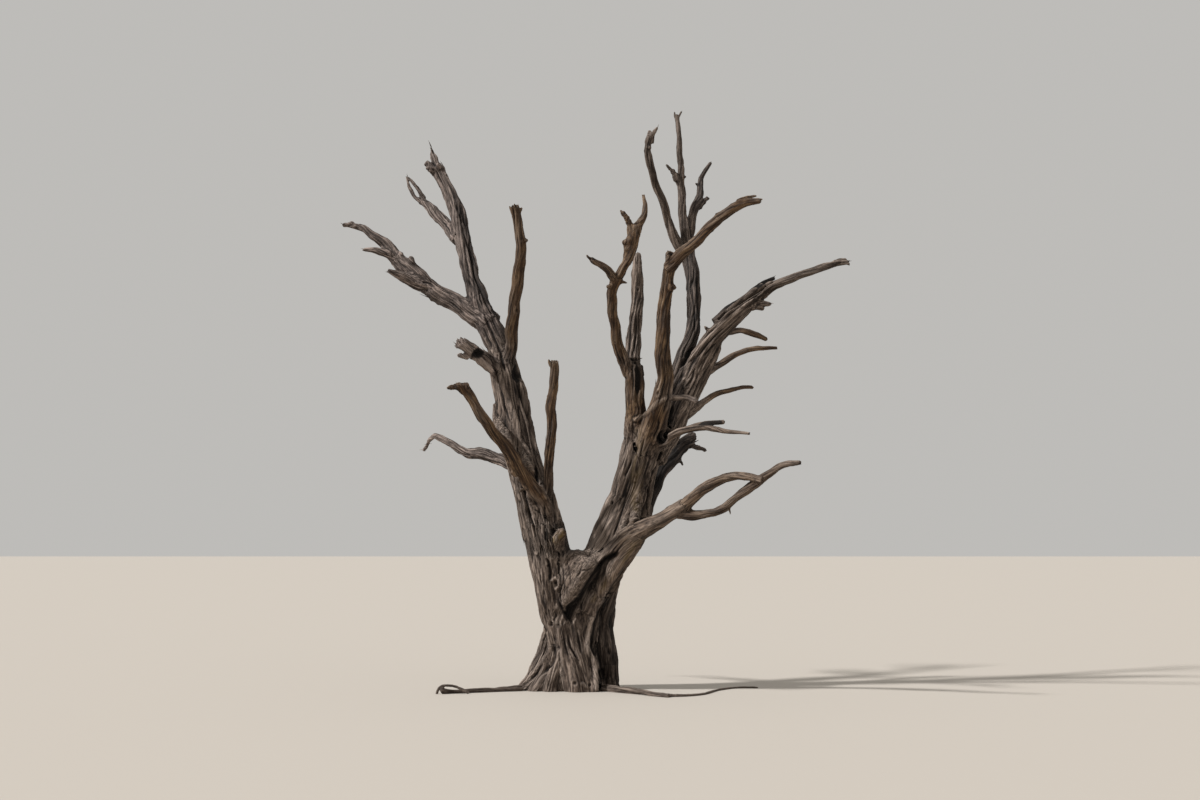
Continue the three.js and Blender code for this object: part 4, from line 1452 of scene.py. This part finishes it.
def paintShadeAndLight():
    normals = normalsOf(skin, quads)
    # crevices lie below the average of the skin around them and are painted as shade, ridges lie above it
    close = graph.smooth(skin, tone["closeSteps"])
    wide = graph.smooth(close, tone["wideSteps"])
    sunk = ((close - skin) * normals).sum(1) / (tone["creviceMm"] * mm)
    valley = ((wide - skin) * normals).sum(1) / (tone["valleyMm"] * mm)
    crevice = np.clip(sunk, 0, 1)
    ridge = np.clip(-sunk, 0, 1)
    shade = graph.smooth(overSkin(lambda name: limbShadeAndTone.get(name, 0.0)), tone["borderSteps"])
    dents = 1 + np.minimum(shade, 0)
    dark = np.maximum(hollow, openness * paintedShadeFrom["open"] * dents)
    dark += (crevice * paintedShadeFrom["crevice"] + np.clip(valley, 0, 1) * paintedShadeFrom["valley"]) * dents
    dark = graph.smooth(np.clip(dark, 0, 1), 1, 0.5)
    dark *= 0.5 + 0.5 * smoothStep(skin[:, 2], 0, tone["groundMm"] * mm)
    # each limb's darkening: its own tone and painted shade
    dark += (1 - dark) * np.maximum(shade, 0)
    # painted light: the side toward the key light is drawn paler
    up = (normals @ unit(np.array(tone["lightFrom"]))).clip(0, 1)
    patches = noiseAt(local / patchMetres, noiseSeeds["patch"])
    patches += 0.5 * noiseAt(stretched(local, *paleStreakMm), noiseSeeds["streak"])
    pale = up * paleAndPaintedLightFrom["up"] + ridge * paleAndPaintedLightFrom["ridge"] + patches * paleAndPaintedLightFrom["patches"]
    pale = np.clip(pale + paleAndPaintedLightFrom["always"], 0, 1)
    pale = np.maximum(pale, bleached) * (1 - 0.8 * dark)
    rounds = int(tone["fadeMm"] / skinLook["voxelMm"])
    steps = spreadLabels(overSkin(lambda name: finishNames.index(slotOf[name])), rounds)[1]
    pure = overSkin(lambda name: float(name in pureLimbs))
    own = np.maximum(smoothStep(steps / rounds, 0, 1), graph.smooth(pure, 12))
    own *= 1 - graph.smooth(overSkin(lambda name: greyed.get(name, 0.0)), tone["borderSteps"])
    return normals, np.column_stack([dark, pale, own])


# painted shade; paleness with painted light; each finish's own share
skinNormals, wear = paintShadeAndLight()
# each guide's grain is moved along, so that no two limbs show the same
grainShift = (0.37, 0.61, 1.3)
grain = local + np.column_stack([guideOf * step for step in grainShift])
report("read the tones")


# the finishes

def addNode(tree, kind, settings=None, links=None):
    # settings: the node's own properties and input values; links: input name to an output socket
    node = tree.nodes.new(kind)
    for name, value in (settings or {}).items():
        if isinstance(name, int) or name in node.inputs:
            node.inputs[name].default_value = value
        else:
            setattr(node, name, value)
    for name, socket in (links or {}).items():
        tree.links.new(socket, node.inputs[name])
    return node


def linear(hexColour):
    parts = [int(hexColour[k:k + 2], 16) / 255 for k in (1, 3, 5)]
    parts = [p / 12.92 if p <= 0.04045 else ((p + 0.055) / 1.055) ** 2.4 for p in parts]
    return (*parts, 1.0)


# dark, mid and light are the wood's own colours; crack is painted shade in splits, crevices and
# hollows; pale is bleached, worn ridges and painted light on sides toward the key light
finishes = {
    "weathered_wood": {
        "name": "weatheredHeartwood", "bump": 0.9,  # barkless trunk wood, grey-brown and deeply split
        "dark": "#31261e", "mid": "#5e5046", "light": "#8e7e72", "crack": "#120c08", "pale": "#a9998d",
    },
    "silvered_wood": {
        "name": "sunSilveredHeartwood", "bump": 1.0,  # the driest limbs, bleached silver with black splits
        "dark": "#2b221d", "mid": "#5a4e48", "light": "#93837a", "crack": "#100b08", "pale": "#ad9d93",
    },
    "brown_wood": {
        "name": "brownSapwood", "bump": 0.8,  # younger boughs, smoother, warm brown, with thin grey streaks
        "dark": "#2a1b10", "mid": "#503a27", "light": "#7b634a", "crack": "#110b07", "pale": "#908072",
    },
    "dark_wood": {
        "name": "shadedCharredHeartwood", "bump": 0.9,  # wood in shade: partly its own darker tone and partly painted shade, and rough
        "dark": "#1c1612", "mid": "#39302b", "light": "#5e524b", "crack": "#0d0907", "pale": "#7f7269",
    },
}
ochreStain = "#6a5732"
roughnessRange = (0.78, 0.97)  # dry wood has no gloss
fibreMm = (10, 230)            # wood fibres are 1 to 2 mm wide, drawn coarser so that they show
streakMm = (30, 500)
splitMm = (47, 680)            # long open cracks
checkMm = (20, 290)            # fine drying cracks between them
blotchMm = 210
fibreBumpMm = 6
tintRange = (0.39, 0.62)       # where the tint's noise is darkest and lightest
# how wide the lines of splits and checks are, as a share of their noise, and how dark their painted shade
# is
splitWidth = 0.06
checkWidth = 0.045
lineStrength = 0.85
splitPatches = (0.4, 0.55)             # splits come in over this range of the blotches' noise
checkPatches = (0.42, 0.6, 0.85, 0.2)  # checks weaken over this range of the streaks', by so much
paleFibres = (0.35, 0.6, 0.35, 1.0)    # pale wood strengthens over this range of the fibres'
roughFibres = (0.3, 0.7)               # and wood roughens over this one


def heartwood(look):
    shared = finishes["weathered_wood"]
    material = bpy.data.materials.new(look["name"])
    material.use_nodes = True
    tree = material.node_tree
    tree.nodes.clear()
    output = addNode(tree, "ShaderNodeOutputMaterial")
    grainNode, paintedShadeLightNode, stainNode = (
        addNode(tree, "ShaderNodeAttribute", {"attribute_name": name})
        for name in ("grain", "wear", "stain")
    )
    place = addNode(tree, "ShaderNodeTexCoord")
    paintedShadeLightParts = addNode(tree, "ShaderNodeSeparateXYZ", links={0: paintedShadeLightNode.outputs["Vector"]})

    def grainNoise(size, detail, distortion=0.0):
        scale = (1 / (size[0] * mm), 1 / (size[0] * mm), 1 / (size[1] * mm))
        source = grainNode.outputs["Vector"]
        scaled = addNode(tree, "ShaderNodeMapping", {"Scale": scale}, {"Vector": source}).outputs[0]
        settings = {"Scale": 1.0, "Detail": detail, "Distortion": distortion}
        return addNode(tree, "ShaderNodeTexNoise", settings, {"Vector": scaled}).outputs["Fac"]

    fibre = grainNoise(fibreMm, 5)
    streak = grainNoise(streakMm, 4, 0.2)
    split = grainNoise(splitMm, 3, 0.25)
    check = grainNoise(checkMm, 2, 0.2)
    blotched = {"Scale": 1 / (blotchMm * mm), "Detail": 4}
    blotch = addNode(tree, "ShaderNodeTexNoise", blotched, {"Vector": place.outputs["Object"]})
    blotch = blotch.outputs["Fac"]

    def maths(operation, first, second):
        settings = {"operation": operation}
        links = {}
        for index, value in enumerate((first, second)):
            if isinstance(value, (int, float)):
                settings[index] = value
            else:
                links[index] = value
        return addNode(tree, "ShaderNodeMath", settings, links).outputs[0]

    def ranged(value, low, high, toLow=0.0, toHigh=1.0):
        settings = {"From Min": low, "From Max": high, "To Min": toLow, "To Max": toHigh}
        return addNode(tree, "ShaderNodeMapRange", settings, {"Value": value}).outputs["Result"]

    def mixed(factor, first, second):
        node = addNode(tree, "ShaderNodeMix", {"data_type": "RGBA"})
        for index, value in ((6, first), (7, second)):
            if isinstance(value, tuple):
                node.inputs[index].default_value = value
            else:
                tree.links.new(value, node.inputs[index])
        tree.links.new(factor, node.inputs[0])
        return node.outputs[2]

    def linesOf(noise, width):
        # lines lie where a noise passes its middle
        return ranged(maths("ABSOLUTE", maths("SUBTRACT", noise, 0.5), 0.0), 0.0, width, 1.0, 0.0)

    # the lines of splits and checks sink the bump and are painted dark as shade
    broad = maths("MULTIPLY", linesOf(split, splitWidth), ranged(blotch, *splitPatches))
    fine = maths("MULTIPLY", linesOf(check, checkWidth), ranged(streak, *checkPatches))
    splitLine = maths("MAXIMUM", broad, fine)
    tint = maths("ADD", maths("MULTIPLY", fibre, 0.5), maths("MULTIPLY", streak, 0.5))
    tint = maths("ADD", tint, maths("MULTIPLY", maths("SUBTRACT", blotch, 0.5), 0.5))

    def woodColour(source):
        ramp = addNode(tree, "ShaderNodeValToRGB", links={0: tint})
        stops = ramp.color_ramp.elements
        stops[0].position, stops[1].position = tintRange
        stops[0].color = linear(source["dark"])
        stops[1].color = linear(source["light"])
        stops.new(0.5).color = linear(source["mid"])
        return ramp.outputs["Color"]

    def finished(source):
        # paleness is bleaching with painted light; the dark is painted shade
        paleAndLitShare = maths("MULTIPLY", paintedShadeLightParts.outputs["Y"], ranged(fibre, *paleFibres))
        colour = mixed(paleAndLitShare, woodColour(source), linear(source["pale"]))
        lines = maths("MULTIPLY", splitLine, lineStrength)
        paintedShadeShare = maths("MAXIMUM", paintedShadeLightParts.outputs["X"], lines)
        return mixed(paintedShadeShare, colour, linear(source["crack"]))

    colour = finished(look)
    if look is not shared:
        colour = mixed(paintedShadeLightParts.outputs["Z"], finished(shared), colour)
    colour = mixed(stainNode.outputs["Fac"], colour, linear(ochreStain))
    height = maths("SUBTRACT", maths("ADD", fibre, maths("MULTIPLY", streak, 0.5)), splitLine)
    bumped = {"Strength": look["bump"], "Distance": fibreBumpMm * mm}
    bump = addNode(tree, "ShaderNodeBump", bumped, {"Height": height})
    roughness = ranged(fibre, *roughFibres, *roughnessRange)
    links = {"Base Color": colour, "Roughness": roughness, "Normal": bump.outputs["Normal"]}
    surface = addNode(tree, "ShaderNodeBsdfPrincipled", {"IOR": 1.5, "Specular IOR Level": 0.3}, links)
    tree.links.new(surface.outputs["BSDF"], output.inputs["Surface"])
    return material


materials = {slot: heartwood(look) for slot, look in finishes.items()}
report("mixed the finishes")


# the pieces: one for each node, closed where it was cut from its neighbours

def openEdges(corners):
    # the edges of some quads with a face on one side only
    starts = corners.ravel()
    ends = np.roll(corners, -1, axis=1).ravel()
    there = starts.astype(np.int64) * (1 << 32) + ends
    back = ends.astype(np.int64) * (1 << 32) + starts
    alone = ~np.isin(there, back)
    return starts[alone], ends[alone]


def walkRings(starts, ends):
    # open edges as rings of points, turned the way a cap's faces need
    after = {}
    for start, end in zip(starts.tolist(), ends.tolist()):
        after.setdefault(end, []).append(start)
    rings = []
    while after:
        ring = [next(iter(after))]
        while ring[-1] in after:
            here = ring[-1]
            step = after[here].pop()
            if not after[here]:
                del after[here]
            if step == ring[0]:
                break
            ring.append(step)
        rings.append(ring)
    return rings


def capTriangles(points, corners):
    # closes each opening that some quads leave, across the opening and without new points
    triangles = []
    for ring in walkRings(*openEdges(corners)):
        if len(ring) < 3:
            continue
        around = points[ring]
        facing = np.cross(around, np.roll(around, -1, axis=0)).sum(0)
        for face in tessellate_polygon([[Vector(point) for point in around]]):
            a, b, c = (around[k] for k in face)
            turned = face if np.cross(b - a, c - a) @ facing > 0 else face[::-1]
            if len({ring[k] for k in face}) == 3:
                triangles.append([ring[k] for k in turned])
    return np.array(triangles, int).reshape(-1, 3)


def makePiece(name, nodes, chosenQuads, material):
    used, corners = np.unique(chosenQuads, return_inverse=True)
    corners = corners.reshape(-1, 4)
    points = skin[used]
    caps = capTriangles(points, corners)
    mesh = bpy.data.meshes.new(name)
    mesh.vertices.add(len(points))
    mesh.vertices.foreach_set("co", points.astype(np.float32).ravel())
    indices = np.concatenate([corners.ravel(), caps.ravel()]).astype(np.int32)
    mesh.loops.add(len(indices))
    mesh.loops.foreach_set("vertex_index", indices)
    mesh.polygons.add(len(corners) + len(caps))
    quadStarts = np.arange(len(corners)) * 4
    capStarts = len(corners) * 4 + np.arange(len(caps)) * 3
    faceStarts = np.concatenate([quadStarts, capStarts]).astype(np.int32)
    mesh.polygons.foreach_set("loop_start", faceStarts)
    mesh.update(calc_edges=True)
    mesh.validate()
    mesh.shade_smooth()
    mesh.normals_split_custom_set_from_vertices(skinNormals[used].tolist())
    for attribute, source in (("grain", grain), ("wear", wear), ("stain", ochre)):
        addAttribute(mesh, attribute, source[used])
    mesh.materials.append(material)
    obj = addObject(name, mesh)
    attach(obj, "root")
    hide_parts(*nodes)


def plainWords(node):
    first, *rest = node.split("_")
    return first + "".join(word.capitalize() for word in rest)


mostTriangles = 190000


def cutIntoPieces():
    largest = 0
    below = skin[:, 2] < 0
    skin[below, 2] = 0
    whole = ~below[quads].all(1)
    faceOwner = ownerOf[quads[:, 0]]
    for index, name in enumerate(nodeNames):
        mine = quads[whole & (faceOwner == index)]
        slot = slotOf[name]
        parts = math.ceil(2 * len(mine) / mostTriangles)
        heights = skin[mine[:, 0], 2]
        levels = np.quantile(heights, np.linspace(0, 1, parts + 1)) if parts > 1 else [0, 1]
        for part in range(parts):
            chosen = mine
            title = plainWords(name) + "Wood"
            if parts > 1:
                under = (heights < levels[part + 1]) | (part == parts - 1)
                chosen = mine[(heights >= levels[part]) & under]
                title += str(part + 1)
            makePiece(title, [name], chosen, materials[slot])
            largest = max(largest, 2 * len(chosen))
    print(f"about {2 * int(whole.sum())} triangles in all, {largest} in the largest piece")


cutIntoPieces()
report("cut the skin into pieces")


# slivers of split wood, which stand off the limbs and the broken ends

slivers = {
    "count": 340, "seed": 5,
    "shard": {"Vertices": 5, "Side Segments": 3, "Radius Top": 0.12, "Radius Bottom": 1.0, "Depth": 1.0},
    "flatShare": 0.5,
    "thickMm": 15,
    "longMm": (70, 170),
    "sunkMm": 4,              # they start this deep in the skin
    "liftDeg": 8,
    "downShare": 0.25,        # this share of them points down the grain
    "fullRadius": 0.11,       # they are smaller on thinner limbs than this, in metres
    "girths": (0.35, 1.0),
    "sizes": (0.6, 1.1),
    "finishShare": byFinish(0.8, 1.6, 0.3, 0.8),
    "tipCount": (1, 3),       # splinters at each broken tip, but not on the brown limbs
    "tipMm": (30, 64),
    "tipReach": 1.1,          # they grow this close to the limb's end, in its radius
    "tipLeast": 12,           # and only where it has more skin points than this
    "tipSpread": 0.3,
    "tipFullRadius": 0.04,
    "tipSizes": (0.6, 1.7),
    "groundMm": 15,           # they end at least this far above the ground
}


def sliverTree():
    tree = bpy.data.node_groups.new("growSlivers", "GeometryNodeTree")
    given = {
        "Geometry": "Geometry", "Thickness": "Float", "Shortest": "Float", "Longest": "Float",
        "Seed": "Int", "Finish": "Material",
    }
    for name, kind in given.items():
        tree.interface.new_socket(name, in_out="INPUT", socket_type="NodeSocket" + kind)
    tree.interface.new_socket("Geometry", in_out="OUTPUT", socket_type="NodeSocketGeometry")
    out = addNode(tree, "NodeGroupInput").outputs

    def made(kind, settings=None, links=None, output=0):
        return addNode(tree, kind, settings, links).outputs[output]

    def named(name, kind):
        settings = {"data_type": kind, "Name": name}
        return made("GeometryNodeInputNamedAttribute", settings, output="Attribute")

    def timesGirth(value):
        return made("ShaderNodeMath", {"operation": "MULTIPLY"}, {0: value, 1: girth})

    shard = made("GeometryNodeMeshCone", slivers["shard"], output="Mesh")
    toward = named("toward", "FLOAT_VECTOR")
    girth = named("girth", "FLOAT")
    turned = made("FunctionNodeAlignRotationToVector", {"axis": "Z"}, {"Vector": toward})
    anyTurn = {"data_type": "FLOAT_VECTOR", 0: (0, 0, 0), 1: (0, 0, 2 * math.pi)}
    spin = made("FunctionNodeRandomValue", anyTurn, {"Seed": out["Seed"]})
    spin = made("FunctionNodeEulerToRotation", links={0: spin})
    turns = {"Rotation": turned, "Rotate By": spin}
    rotation = made("FunctionNodeRotateRotation", {"rotation_space": "LOCAL"}, turns)
    lengths = {2: out["Shortest"], 3: out["Longest"], "Seed": out["Seed"]}
    length = made("FunctionNodeRandomValue", {"data_type": "FLOAT"}, lengths, 1)
    thick = timesGirth(out["Thickness"])
    flat = made("ShaderNodeMath", {"operation": "MULTIPLY", 1: slivers["flatShare"]}, {0: thick})
    size = made("ShaderNodeCombineXYZ", links={0: thick, 1: flat, 2: timesGirth(length)})
    cloud = made("GeometryNodeMeshToPoints", links={"Mesh": out["Geometry"]})
    grown = {"Points": cloud, "Instance": shard, "Rotation": rotation, "Scale": size}
    grown = made("GeometryNodeInstanceOnPoints", links=grown)
    real = made("GeometryNodeRealizeInstances", links={0: grown})
    painted = made("GeometryNodeSetMaterial", links={"Geometry": real, "Material": out["Finish"]})
    addNode(tree, "NodeGroupOutput", links={0: painted})
    return tree


def growSlivers(name, index, toward, girth, slot, longMm):
    # index: the skin points they grow from; toward: where to; girth: how thick and long, about 1
    mesh = bpy.data.meshes.new(name + "Roots")
    roots = skin[index] - skinNormals[index] * slivers["sunkMm"] * mm
    mesh.from_pydata(roots.tolist(), [], [])
    given = {"grain": grain[index], "wear": wear[index], "toward": toward, "girth": girth}
    for attribute, values in given.items():
        addAttribute(mesh, attribute, values)
    obj = addObject(name + "Roots", mesh)
    modifier = obj.modifiers.new("slivers", "NODES")
    modifier.node_group = sliverGroup
    items = [item for item in sliverGroup.interface.items_tree if item.in_out == "INPUT"]
    sockets = {item.name: item.identifier for item in items}
    modifier[sockets["Thickness"]] = slivers["thickMm"] * mm / 2
    modifier[sockets["Shortest"]] = longMm[0] * mm
    modifier[sockets["Longest"]] = longMm[1] * mm
    modifier[sockets["Seed"]] = slivers["seed"]
    modifier[sockets["Finish"]] = materials[slot]
    piece = addObject(name, modifiedMesh(obj))
    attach(piece, "root")


def sideSlivers(rng):
    # slivers that have lifted off the limbs along the grain
    places = wildPoints(slivers)
    lift = math.tan(math.radians(slivers["liftDeg"]))
    odds = [slivers["downShare"], 1 - slivers["downShare"]]
    way = rng.choice([-1, 1], len(places), p=odds)[:, None]
    toward = unit(heading[places] * way + skinNormals[places] * lift)
    girth = np.clip(radiusOf[places] / slivers["fullRadius"], *slivers["girths"])
    girth = girth * rng.uniform(*slivers["sizes"], len(places))
    lowest = skin[places, 2] + toward[:, 2] * girth * slivers["longMm"][1] * mm
    clear = lowest > slivers["groundMm"] * mm
    return places[clear], toward[clear], girth[clear]


def tipSplinters(rng):
    places = []
    toward = []
    girth = []
    for index, guide in enumerate(guides):
        radius = tipRadius(guide)
        lowest = guide["place"][-1] - radius * slivers["tipReach"]
        near = np.flatnonzero((guideOf == index) & (local[:, 2] > lowest))
        name = nodeNames[guide["node"]]
        bare = slotOf[name] == "brown_wood" or name.endswith(("root", "stub"))
        if guide["tip"] and len(near) > slivers["tipLeast"] and not bare:
            chosen = rng.choice(near, rng.integers(*slivers["tipCount"]), replace=False)
            places.append(chosen)
            toward.append(guide["tangents"][-1] + skinNormals[chosen] * slivers["tipSpread"])
            size = np.clip(radius / slivers["tipFullRadius"], *slivers["tipSizes"])
            girth.append(np.full(len(chosen), size))
    return np.concatenate(places), unit(np.concatenate(toward)), np.concatenate(girth)


sliverGroup = sliverTree()
sliverRng = np.random.default_rng(slivers["seed"])
for title, (places, toward, girth), longMm in (
    ("Slivers", sideSlivers(sliverRng), slivers["longMm"]),
    ("Splinters", tipSplinters(sliverRng), slivers["tipMm"]),
):
    slotsThere = overSkin(slotOf.get)[places]
    for slot in finishNames:
        mine = slotsThere == slot
        if mine.any():
            growSlivers(plainWords(slot) + title, places[mine], toward[mine], girth[mine], slot, longMm)
report("grew the slivers")


# camera, floor and light

studio = {
    "floorReach": 300.0,
    "floor": "#b9b1a7",
    "floorRoughness": 0.9,
    "sky": "#eeece8",
    "skyStrength": 0.6,
    "keyTowards": (0.87, 0.33, -0.78),
    "keyStrength": 4.0,
    "keySoftDeg": 4,
    "fillTowards": (-0.6, 0.75, -0.25),
    "fillStrength": 0.15,
    "fillSoftDeg": 40,
}


def addCamera():
    data = bpy.data.cameras.new("eyeLevel")
    data.lens = eye["lensMm"]
    data.sensor_width = eye["sensorMm"]
    data.clip_end = 1000
    camera = addObject("eyeLevel", data)
    camera.location = eyePoint
    camera.rotation_euler = (math.radians(90 + eye["tiltDeg"]), 0, 0)
    bpy.context.scene.camera = camera


def addFloor():
    reach = studio["floorReach"]
    mesh = bpy.data.meshes.new("floor")
    corners = [(-reach, -reach, 0), (reach, -reach, 0), (reach, reach, 0), (-reach, reach, 0)]
    mesh.from_pydata(corners, [], [(0, 1, 2, 3)])
    material = bpy.data.materials.new("paleFloor")
    material.use_nodes = True
    shader = material.node_tree.nodes["Principled BSDF"]
    shader.inputs["Base Color"].default_value = linear(studio["floor"])
    shader.inputs["Roughness"].default_value = studio["floorRoughness"]
    mesh.materials.append(material)
    floor = addObject("floor", mesh)
    floor.location.z = -mm


def addSun(name, towards, strength, softDeg):
    data = bpy.data.lights.new(name, "SUN")
    data.energy = strength
    data.angle = math.radians(softDeg)
    light = addObject(name, data)
    light.rotation_euler = Vector(towards).to_track_quat("-Z", "Y").to_euler()


def addSky():
    world = bpy.data.worlds.new("paleStudio")
    world.use_nodes = True
    background = world.node_tree.nodes["Background"]
    background.inputs["Color"].default_value = linear(studio["sky"])
    background.inputs["Strength"].default_value = studio["skyStrength"]
    bpy.context.scene.world = world


addCamera()
addFloor()
addSun("key", studio["keyTowards"], studio["keyStrength"], studio["keySoftDeg"])
addSun("fill", studio["fillTowards"], studio["fillStrength"], studio["fillSoftDeg"])
addSky()
bpy.context.scene.view_settings.view_transform = "Standard"
report("set the camera, floor and lights")
